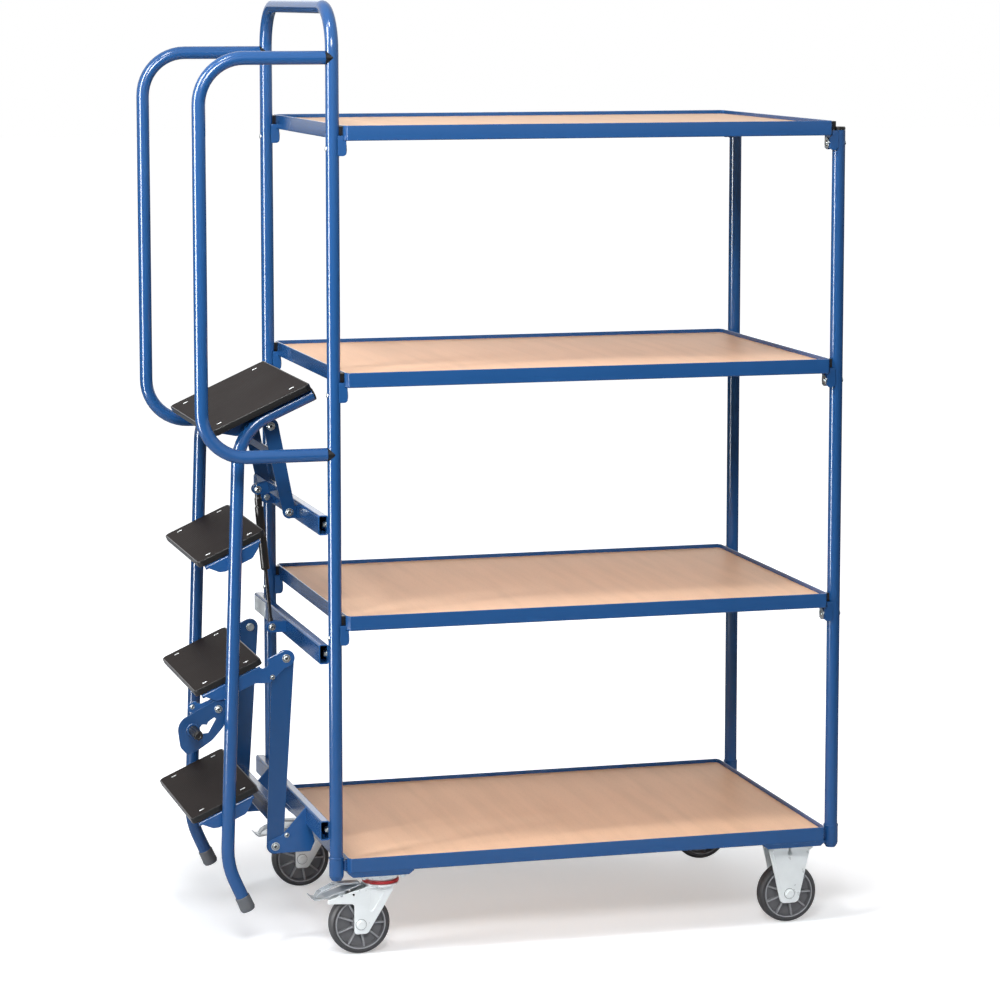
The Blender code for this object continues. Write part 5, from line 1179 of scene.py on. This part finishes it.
# %% A node group that repeats a piece on points
repeat = bpy.data.node_groups.new("Repeat on points", "GeometryNodeTree")
for label, kind in (("Points", "Geometry"), ("Piece", "Object"), ("Turn", "Float"), ("Finish", "Material")):
    repeat.interface.new_socket(label, in_out="INPUT", socket_type="NodeSocket" + kind)
repeat.interface.new_socket("Copies", in_out="OUTPUT", socket_type="NodeSocketGeometry")
given, result, piece_info, number, spin, turn, copies, solid, painted = (
    repeat.nodes.new(kind) for kind in (
        "NodeGroupInput", "NodeGroupOutput", "GeometryNodeObjectInfo", "GeometryNodeInputIndex",
        "ShaderNodeMath", "ShaderNodeCombineXYZ", "GeometryNodeInstanceOnPoints",
        "GeometryNodeRealizeInstances", "GeometryNodeSetMaterial"))
spin.operation = "MULTIPLY"
for start, end in (
    (given.outputs["Points"], copies.inputs["Points"]), (given.outputs["Piece"], piece_info.inputs["Object"]),
    (piece_info.outputs["Geometry"], copies.inputs["Instance"]), (number.outputs[0], spin.inputs[0]),
    (given.outputs["Turn"], spin.inputs[1]), (spin.outputs[0], turn.inputs["Z"]),
    (turn.outputs[0], copies.inputs["Rotation"]), (copies.outputs[0], solid.inputs[0]),
    (solid.outputs[0], painted.inputs["Geometry"]), (given.outputs["Finish"], painted.inputs["Material"]),
    (painted.outputs[0], result.inputs["Copies"]),
):
    repeat.links.new(start, end)
SOCKET = {item.name: item.identifier for item in repeat.interface.items_tree if item.in_out == "INPUT"}


def repeated(piece, points, turn_by, look, base):
    """Copies of a mesh on points, as one plain mesh laid in a frame."""
    guide = bpy.data.meshes.new("points")
    guide.from_pydata([Vector(p) for p in points], [], [])
    holder = bpy.data.objects.new("points", guide)
    source = bpy.data.objects.new("source", piece)
    scene.collection.objects.link(holder)
    scene.collection.objects.link(source)
    nodes = holder.modifiers.new("repeat", "NODES")
    nodes.node_group = repeat
    nodes[SOCKET["Piece"]] = source
    nodes[SOCKET["Turn"]] = turn_by
    nodes[SOCKET["Finish"]] = look
    bpy.context.view_layer.update()
    seen = holder.evaluated_get(bpy.context.evaluated_depsgraph_get())
    mesh = bpy.data.meshes.new_from_object(seen)
    for extra in (holder, source):
        bpy.data.objects.remove(extra, do_unlink=True)
    mesh.transform(base)
    return mesh


print("inputs:", list(SOCKET))

# %% [markdown]
# The three treads are equal and stand one rise and one going apart. The platform at the top
# is deeper and wider, with its rivets further in. One function takes these differences, and
# the black edge is a ring round the board, since a band painted on it would look flat.

# %% Treads, platform and rivets
RISE, GOING = 0.235508, 0.11588
TREAD_BACK, TREAD_DEEP, TREAD_HALF = -0.1973, 0.150, 0.18795
TREAD_TOP, TREAD_THICK = 0.0245, 0.0125
PLATFORM_BACK, PLATFORM_DEEP, PLATFORM_HALF = 0.0483, 0.2223, 0.230
PLATFORM_TOP, PLATFORM_THICK = 0.49615, 0.0130
RIVET_LONG, RIVET_WIDE = 0.0056, 0.0021


def tread(name, x_low, deep, half, top, thick, front=0.20, back=0.82, inward=0.029):
    """The board, its moulded edge and four rivets."""
    x_high = x_low + deep
    low = top - thick
    rim = 0.0032
    lap = rim - 0.0010
    opening = oblong(x_low + rim, x_high - rim, -half + rim, half - rim, 0.0088)
    ring = slab(oblong(x_low, x_high, -half, half, 0.012), low, top + 0.0002, (opening,), edge=0.0015,
                base=LADDER)
    face = slab(oblong(x_low + lap, x_high - lap, -half + lap, half - lap, 0.0095),
                low + 0.001, top - 0.0002, edge=0.0004, base=LADDER)
    dress(f"{name}_face", [face], TREAD, "ladder", name)
    dress(f"{name}_edge", [ring], BLACK, "ladder")
    head = slab(centred(RIVET_LONG, RIVET_WIDE, RIVET_WIDE * NEARLY), -0.0006, 0.0006, edge=0.0005)
    places = [(x_low + share * deep, s * (half - inward), top) for share in (front, back) for s in (-1, 1)]
    dress(f"{name}_rivets", [repeated(head, places, 0.0, ZINC, LADDER)], ZINC, "ladder")


for number in (1, 2, 3):
    step = number - 2
    tread(f"tread_{number}", TREAD_BACK + step * GOING, TREAD_DEEP, TREAD_HALF,
          TREAD_TOP + step * RISE, TREAD_THICK)
tread("platform", PLATFORM_BACK, PLATFORM_DEEP, PLATFORM_HALF, PLATFORM_TOP, PLATFORM_THICK,
      front=0.13, back=0.86, inward=0.045)
print("rise", round(RISE * 1000, 1), "mm, going", round(GOING * 1000, 1), "mm")

# %% [markdown]
# Sheet supports are folded: a level web under the board and two side flanges with a wavy
# lower edge, welded to the stiles. The wave is given as shares of depth and drop, so one
# line serves the treads and the platform.

# %% Tread supports
SUPPORT_TOP, PLATFORM_SUPPORT_TOP = 0.0117, 0.48285
SUPPORT_SHEET = 0.003
FLANGE = (TREAD_HALF - SUPPORT_SHEET, TREAD_HALF)
FLANGE_DROP = 0.0265
WAVE = ((0.077, 0.0), (0.22, 0.85), (0.30, 1.0), (0.70, 1.0), (0.83, 0.5), (0.887, 0.0))


def flange_line(x_low, deep, top):
    """The lower edge of a flange."""
    return [(x_low + along * deep, top - SUPPORT_SHEET - down * FLANGE_DROP, 0.012 if down else 0.0)
            for along, down in WAVE]


def support_web(x_low, deep, top):
    """The level web, and the two rounded folds between it and the flanges."""
    start, end = x_low + WAVE[0][0] * deep - 0.001, x_low + WAVE[-1][0] * deep + 0.001
    low = top - 0.0048
    web = slab(oblong(start, end, -0.1850, 0.1850), top - SUPPORT_SHEET, top, edge=0.0008, base=LADDER)
    return [web] + [pipe(((start, y, low, 0), (end, y, low, 0)), 0.0045, sides=28, edge=0.001, base=LADDER)
                    for y in (-0.18345, 0.18345)]


def plain_support(x_low, deep, top):
    """A web with its two flanges."""
    line = flange_line(x_low, deep, top)
    return support_web(x_low, deep, top) + [plate(line, *span, edge=0.0014, base=LADDER)
                                            for span in both_sides(*FLANGE)]


def welds(top):
    """Beads between a flange and the slanted stiles, in front of the tube and behind it."""
    made = []
    for _, side in SIDES:
        for off in (-0.0100, 0.0100):
            bead = [(FOOT_X + (z - KNEE_Z) * LEAN + off, side * 0.1912, z, 0)
                    for z in (top - 0.023, top - 0.005)]
            made.append(pipe(bead, 0.0034, sides=16, edge=0.0015, base=LADDER))
    return made


for number, step in ((1, -1), (3, 1)):
    top = SUPPORT_TOP + step * RISE
    steel = plain_support(TREAD_BACK + step * GOING, TREAD_DEEP, top) + welds(top)
    dress(f"tread_support_{number}_steel", steel, BLUE, "ladder", f"tread_support_{number}")

steel = plain_support(PLATFORM_BACK, PLATFORM_DEEP, PLATFORM_SUPPORT_TOP)
head_x, head_z = seen_from(LADDER, EYE_PIN)
r = 0.013
root_z = PLATFORM_SUPPORT_TOP - 0.001
ear = ((head_x - r, head_z - r, r * NEARLY), (head_x + r, head_z - r, r * NEARLY), (head_x + r, root_z, 0),
       (head_x - r, root_z, 0))
steel += [plate(ear, *span, base=LADDER) for span in both_sides(*EAR)]
dress("platform_support_steel", steel, BLUE, "ladder", "platform_support")

# %% [markdown]
# The middle support reaches out to the lower link's pin with an arm on each side. The pin is
# the origin of the ladder's frame, so the arm's eye has simple numbers. On the near side a
# lug hangs under the support, which carries the latch.

# %% Middle support with its arms, and the latch lug
top = SUPPORT_TOP
root_z = top - 0.001
r = 0.0175
arm = (*flange_line(TREAD_BACK, TREAD_DEEP, top)[:3], (-0.078, top - 0.0295, 0.012),
       (-0.052, -0.031, 0.012), (-r * 0.7, -r, 0.006), (r, -r, r * NEARLY), (r, r, r * NEARLY),
       (-0.037, r, 0.006), (-0.037, 0.003, 0.006), (-0.055, 0.003, 0.006), (-0.056, root_z, 0))
steel = support_web(TREAD_BACK, TREAD_DEEP, top) + welds(top)
steel += [plate(arm, *span, edge=0.0014, base=LADDER) for span in both_sides(*FLANGE)]
latch_x, latch_z = seen_from(LADDER, (PIN["latch_lift"][0], PIN["latch_lift"][2]))
right, under = latch_x + 0.0200, latch_z - 0.0085
lug = ((-0.2225, -0.0125, 0.0089), (latch_x, under, 0.00999), (right, under, 0.00999), (right, root_z, 0),
       (-0.156, root_z, 0), (-0.160, -0.0065, 0.003), (-0.196, -0.0060, 0.008), (-0.204, 0.0055, 0.004),
       (-0.2225, 0.0055, 0.0085))
steel.append(plate(lug, -0.17765, -0.18165, base=LADDER))
near = (0, -1, 0)
dress_bolted("tread_support_2", "ladder", steel,
             both(pins(0, 0, FLANGE[1], PIVOT_BOLT, ARM_NUT_Y, base=LADDER),
                  pins(-0.0417, -0.0218, FLANGE[1], SMALL_BOLT, base=LADDER),
                  pivot_bolt((latch_x, -0.1847, latch_z), near, 0.0080, base=LADDER),
                  pivot_bolt((latch_x - 0.0455, -0.18165, -0.003), near, 0.0050, base=LADDER)))
print("latch pin in the ladder's frame:", round(latch_x, 4), round(latch_z, 4))

# %% [markdown]
# The latch is a hooked plate with a slot that has sharp notches, and a fluted knob to lift
# it by. Both outlines are written as tenths of a metre from the latch's own pin, and they
# are scaled down in one line. The flutes are a star whose corners are rounded.

# %% Latch plate and its grip
LATCH = LADDER @ Matrix.Translation((latch_x, 0, latch_z))
TENTH = 0.1
GRIP_X, GRIP_Z = -0.0645, -0.0140
GRIP_FACE = -0.1910
FLUTES, FLUTE_OUT, FLUTE_IN = 8, 0.0107, 0.0084
body = ((0.15, 0.00, 0.13), (0.10, 0.20, 0.10), (-0.45, 0.17, 0.30), (-0.875, 0.137, 0.30),
        (-1.026, -0.36, 0.20), (-0.96, -0.57, 0.10), (-0.74, -0.58, 0.10), (-0.38, -0.525, 0.45),
        (-0.02, -0.36, 0.20))
slot = ((-0.15, -0.115, 0.004), (-0.30, -0.145, 0.01), (-0.345, -0.185, 0.004), (-0.43, -0.135, 0.03),
        (-0.53, -0.19, 0.05), (-0.50, -0.31, 0.03), (-0.39, -0.35, 0.02), (-0.13, -0.16, 0.004))
body, slot = (tuple(tuple(v * TENTH for v in point) for point in line) for line in (body, slot))
steel = [plate(body, -0.18465, -0.18195, (slot, circle_at(0, 0, 0.0052)), base=LATCH),
         disc(0.0140, 0.0, 0.0063, 0.0020, place=(GRIP_X, -0.18445, GRIP_Z), axis=near, base=LATCH)]
# The latch plate takes the darker blue, a painted shade.
dress("latch_plate_steel", steel, SHADED_LINK_BLUE, "latch", "latch_plate")
fluted = [(GRIP_X + out * math.cos(a), GRIP_Z + out * math.sin(a), 0.0016)
          for a, out in zip(turns(2 * FLUTES), (FLUTE_IN, FLUTE_OUT) * FLUTES)]
collar = {"place": (GRIP_X, GRIP_FACE, GRIP_Z), "axis": near, "base": LATCH}
grip = [plate(fluted, -0.1950, -0.2480, edge=0.0016, base=LATCH), disc(0.0095, 0.0, 0.0050, 0.0010, **collar),
        lathe(((0, 0.055, 0), (0.0072, 0.055, 0), (0.0072, 0.0590, 0.0008), (0.0048, 0.0590, 0.0008),
               (0.0040, 0.0576, 0.0006), (0, 0.0576, 0)), **collar)]
dress("latch_grip_knob", grip, BLACK, "latch", "latch_grip")

# %% [markdown]
# ## Castors
# A wheel is a ring of tyre rubber on a moulded hub. The hub has an outer ring, a thin web,
# a boss and nine ribs, which the node group turns round the axle. The ribs and the two thin
# face rings are a piece of their own in a lighter copy of the hub plastic, a painted highlight.

# %% Wheels
RIBS = 9
BORE, BOSS, WEB, RING, RING_OUT, HUB_HALF = 0.0064, 0.0170, 0.004, 0.0488, 0.0524, 0.0162
TYRE_HALF = ((0.0500, -0.0150, 0.0005), (0.0530, -0.0152, 0.0008), (0.0570, -0.0160, 0.0030),
             (AXLE_Z, -0.0100, 0.0090))
HUB_PROFILE = ((BORE, 0.0170, 0.0004), (0.0110, 0.0170, 0.0012), (0.0125, 0.0140, 0.001),
               (BOSS, 0.0130, 0.001), (BOSS + 0.001, WEB, 0.0015), (RING - 0.001, WEB, 0.0015),
               (RING, HUB_HALF - 0.0015, 0.001), (RING + 0.0008, HUB_HALF, 0.0006),
               (RING_OUT, HUB_HALF, 0.0006))


def mirrored(half):
    """A profile with its own mirror image added at its end."""
    return half + tuple((r, -z, bend) for r, z, bend in reversed(half))


def face_ring(s, base):
    """The thin light ring on one face of a hub."""
    low, high = s * HUB_HALF, s * (HUB_HALF + 0.0005)
    inner, outer = RING + 0.0006, RING_OUT - 0.0008
    profile = ((inner, low, 0.0002), (inner, high, 0.0002), (outer, high, 0.0002), (outer, low, 0.0002))
    return lathe(profile[::s], sides=72, base=base)


def wheel(word, body, x, side):
    """The tyre and the ribbed hub of one wheel."""
    place = Matrix.Translation((x, side * CASTOR_Y, AXLE_Z)) @ Matrix.Rotation(math.radians(-90), 4, "X")
    tyre = lathe(mirrored(TYRE_HALF), sides=96, base=place)
    dress(f"tyre_{word}_rubber", [tyre], TYRE, body, f"tyre_{word}")
    hub = lathe(mirrored(HUB_PROFILE), sides=72, base=place)
    rib = block((BOSS - 0.001, -0.0016, -0.0132), (RING + 0.0008, 0.0016, 0.0132), 0.0007)
    ribs = repeated(rib, [(0, 0, 0)] * RIBS, 2 * math.pi / RIBS, LIT_RIB, place)
    dress(f"hub_{word}_plastic", [hub], HUB, body, f"hub_{word}")
    # The ribs and face rings take the lighter copy of the hub plastic, a painted highlight.
    dress(f"hub_{word}_ribs", [ribs] + [face_ring(s, place) for s in (-1, 1)], LIT_RIB, body)


for word, side in SIDES:
    wheel(f"swivel_{word}", f"wheel_swivel_{word}", SWIVEL_X + TRAIL, side)
    wheel(f"fixed_{word}", f"wheel_fixed_{word}", FIXED_X, side)
print("wheels of", round(AXLE_Z * 2000), "mm")

# %% [markdown]
# Both kinds of castor have the same bolted top plate and the same axle with its nuts. These
# are functions that work in a frame on the floor under the castor, so four castors share
# one set of numbers.

# %% Plates and axles of the castors
PLATE_LOW, PLATE_HIGH = 0.1663, 0.1693
BOLT_HOLES = [(x, y) for x in (-0.040, 0.040) for y in (-0.0285, 0.0285)]
LEG = (0.018, 0.021)
LEG_TIP, LEG_TOP = 0.0425, 0.1680


def castor_frame(x, side):
    """A frame on the floor under the middle of a castor's top plate."""
    return Matrix.Translation((x, side * CASTOR_Y, 0))


def top_plate(base):
    """The bolted plate, and a nut with the end of its bolt under each corner."""
    holes = tuple(circle_at(x, y, 0.0042) for x, y in BOLT_HOLES)
    made = [slab(centred(0.0525, 0.040, 0.009), PLATE_LOW, PLATE_HIGH, holes, base=base)]
    for x, y in BOLT_HOLES:
        made += hex_head((x, y, PLATE_LOW), (0, 0, -1), 0.0072, 0.0072, base=base)
        made.append(disc(0.0040, 0.0, 0.0022, 0.0006, place=(x, y, 0.1594), axis=(0, 0, -1), base=base))
    return made


def axle(x, base):
    """The axle, with a washer and a hexagon at each end."""
    made = [disc(0.006, -0.0245, 0.0245, place=(x, 0, AXLE_Z), axis=(0, 1, 0), base=base)]
    for _, side in SIDES:
        made += hex_head((x, side * 0.0211, AXLE_Z), (0, side, 0), 0.0092, 0.0062, base=base)
    return made


def axle_shade(x, base):
    """Painted shade: a dark ring round each of the two ends of an axle."""
    return [disc(0.0113, 0.0, 0.0005, 0.0001, place=(x, side * 0.0208, AXLE_Z), axis=(0, side, 0), base=base)
            for _, side in SIDES]


print("bolts of a top plate at", BOLT_HOLES)

# %% [markdown]
# The forks are pressed from zinc plated sheet. The fixed one widens towards its top plate,
# a keyhole is punched in each leg, and a stiffening rib runs down beside it.

# %% Fixed forks
leg = ((-0.048, LEG_TOP, 0), (-0.0195, LEG_TIP, 0.0115), (0.0195, LEG_TIP, 0.0115), (0.048, LEG_TOP, 0))
keyhole = ((-0.0022, 0.1640, 0), (0.0022, 0.1640, 0), (0.0022, 0.1540, 0.0006), (0.0046, 0.1515, 0.0044),
           (0.0046, 0.1445, 0.0044), (-0.0046, 0.1445, 0.0044), (-0.0046, 0.1515, 0.0044),
           (-0.0022, 0.1540, 0.0006))
press = ((-0.0370, 0.1500, 0.0012), (-0.0340, 0.1500, 0.0012), (-0.0160, 0.0720, 0.0012),
         (-0.0190, 0.0720, 0.0012))
for word, side in SIDES:
    base = castor_frame(FIXED_X, side)
    zinc = top_plate(base) + axle(0, base)
    zinc += [plate(leg, *span, (keyhole,), edge=0.001, base=base) for span in both_sides(*LEG)]
    zinc += [plate(press, *span, edge=0.0008, base=base) for span in both_sides(0.0200, 0.0219)]
    dress(f"fixed_{word}_fork_zinc", zinc, ZINC, "trolley", f"fixed_{word}_fork")
    # Dark rings round the axle ends, as painted shade.
    dress(f"fixed_{word}_seats", axle_shade(0, base), SHADE_BLACK, "trolley")

# %% [markdown]
# The swivelling fork hangs from a round crown. Above it sit the ball race, pressed from the
# top plate, and a red seal between the two. Its legs reach forward to hold the brake pedal,
# and a dent is pressed in each: a hole in the leg with a thinner plate behind it.

# %% Swivelling forks
RACE = ((0, 0.168, 0), (0.0375, 0.168, 0), (0.0362, 0.1560, 0.0030), (0.033, 0.1520, 0.001),
        (0.033, 0.1455, 0.002), (0.006, 0.1455, 0), (0.006, 0.1404, 0), (0.011, 0.1404, 0.0003),
        (0.011, 0.1372, 0.001), (0, 0.1372, 0))
SEAL = ((0.0333, 0.1527, 0.0003), (0.0372, 0.1527, 0.0012), (0.0380, 0.1505, 0.0008),
        (0.0370, 0.1495, 0.0004), (0.0380, 0.1485, 0.0008), (0.0372, 0.1465, 0.0012),
        (0.0333, 0.1465, 0.0003))
CROWN = ((0.0064, 0.1452, 0), (0.0366, 0.1452, 0.0010), (0.0366, 0.1407, 0.003), (0.0064, 0.1407, 0))
LEG_CROWN = 0.1417
leg = ((-0.114, 0.1170, 0.002), (-0.114, 0.1090, 0.002), (-0.059, 0.1055, 0.006), (-0.059, LEG_TIP, 0.007),
       (-0.031, LEG_TIP, 0.010), (0.004, 0.100, 0.020), (0.022, 0.131, 0.005), (0.022, LEG_CROWN, 0),
       (-0.0338, LEG_CROWN, 0), (-0.036, 0.1390, 0.001), (-0.060, 0.1330, 0.006))
dent = ((-0.0270, 0.1350, 0.004), (0.0060, 0.1350, 0.008), (-0.0050, 0.1130, 0.010), (-0.0270, 0.0800, 0.004))
spill = ((-0.002, 0.002), (0.003, 0.002), (0.003, -0.002), (-0.002, -0.003))
floor_of_dent = tuple((x + dx, z + dz, 0.004) for (x, z, _), (dx, dz) in zip(dent, spill))
for word, side in SIDES:
    base = castor_frame(SWIVEL_X, side)
    zinc = top_plate(base) + [lathe(RACE, sides=64, base=base)]
    dress(f"swivel_{word}_plate_zinc", zinc, ZINC, "trolley", f"swivel_{word}_plate")
    seal = lathe(SEAL, sides=64, base=base)
    dress(f"swivel_{word}_seal_ring", [seal], RED, "trolley", f"swivel_{word}_seal")
    zinc = [lathe(CROWN, sides=64, base=base)] + axle(TRAIL, base)
    holes = (circle_at(-0.060, 0.1250, 0.0022), dent)
    zinc += [plate(leg, *span, holes, edge=0.0013, base=base) for span in both_sides(*LEG)]
    zinc += [plate(floor_of_dent, *span, edge=0.0004, base=base) for span in both_sides(0.0172, 0.0186)]
    dress(f"swivel_{word}_fork_zinc", zinc, ZINC, f"swivel_{word}", f"swivel_{word}_fork")
    # Dark rings round the axle ends, as painted shade.
    dress(f"swivel_{word}_seats", axle_shade(TRAIL, base), SHADE_BLACK, f"swivel_{word}")

# %% [markdown]
# A brake pedal is a curled tongue of sheet with a raised rib along its middle. It turns on
# a pin between the fork's cheeks. A framed pad on its slope takes the sole of the shoe. The
# tongue and the rib are drawn from the side, as a line and the same line a sheet lower.

# %% Brake pedals
BRAKE_X, BRAKE_Z = PIN["brake_far_press"][0] - SWIVEL_X, PIN["brake_far_press"][2]
TONGUE = ((-0.1488, 0.1265, 0.0005), (-0.1400, 0.1195, 0.006), (-0.1180, 0.1225, 0.010),
          (-0.044, 0.1465, 0.0005))
SPINE = ((-0.1360, 0.1225, 0.003), (-0.1310, 0.1310, 0.004), (-0.092, 0.1490, 0.030),
         (-0.046, 0.1480, 0.004))
cheek = ((-0.092, 0.118, 0.00699), (-0.078, 0.118, 0.00699), (-0.078, 0.1350, 0), (-0.092, 0.1300, 0))
for word, side in SIDES:
    base = castor_frame(SWIVEL_X, side)
    zinc = []
    for line, thick, half in ((TONGUE, 0.0022, 0.0200), (SPINE, 0.0040, 0.0115)):
        under = tuple((x, z - thick, r) for x, z, r in reversed(line))
        zinc.append(plate(line + under, -half, half, edge=0.0009, base=base))
    slope = base @ tilted(-0.1130, 0.1396, -25.0)
    zinc.append(slab(centred(0.0165, 0.0092, 0.0030), -0.0008, 0.0010, (centred(0.0130, 0.0052, 0.0012),),
                     base=slope))
    zinc.append(block((-0.0105, -0.0022, -0.0008), (0.0105, 0.0022, 0.0010), corner=0.0018, base=slope))
    zinc += [plate(cheek, *span, base=base) for span in both_sides(0.0147, 0.0177)]
    zinc += [disc(0.003, 0.0, 0.0062, place=(BRAKE_X, s * 0.0150, BRAKE_Z), axis=(0, s, 0), base=base)
             for s in (-1, 1)]
    # The pedals take the darker zinc, a painted shade.
    dress(f"brake_pedal_{word}_zinc", zinc, SHADED_PEDAL_ZINC, f"pedal_{word}", f"brake_pedal_{word}")

# %% Size of the dressed pieces
low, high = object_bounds()
print("dressed", [round(v, 4) for v in (*low, *high)])
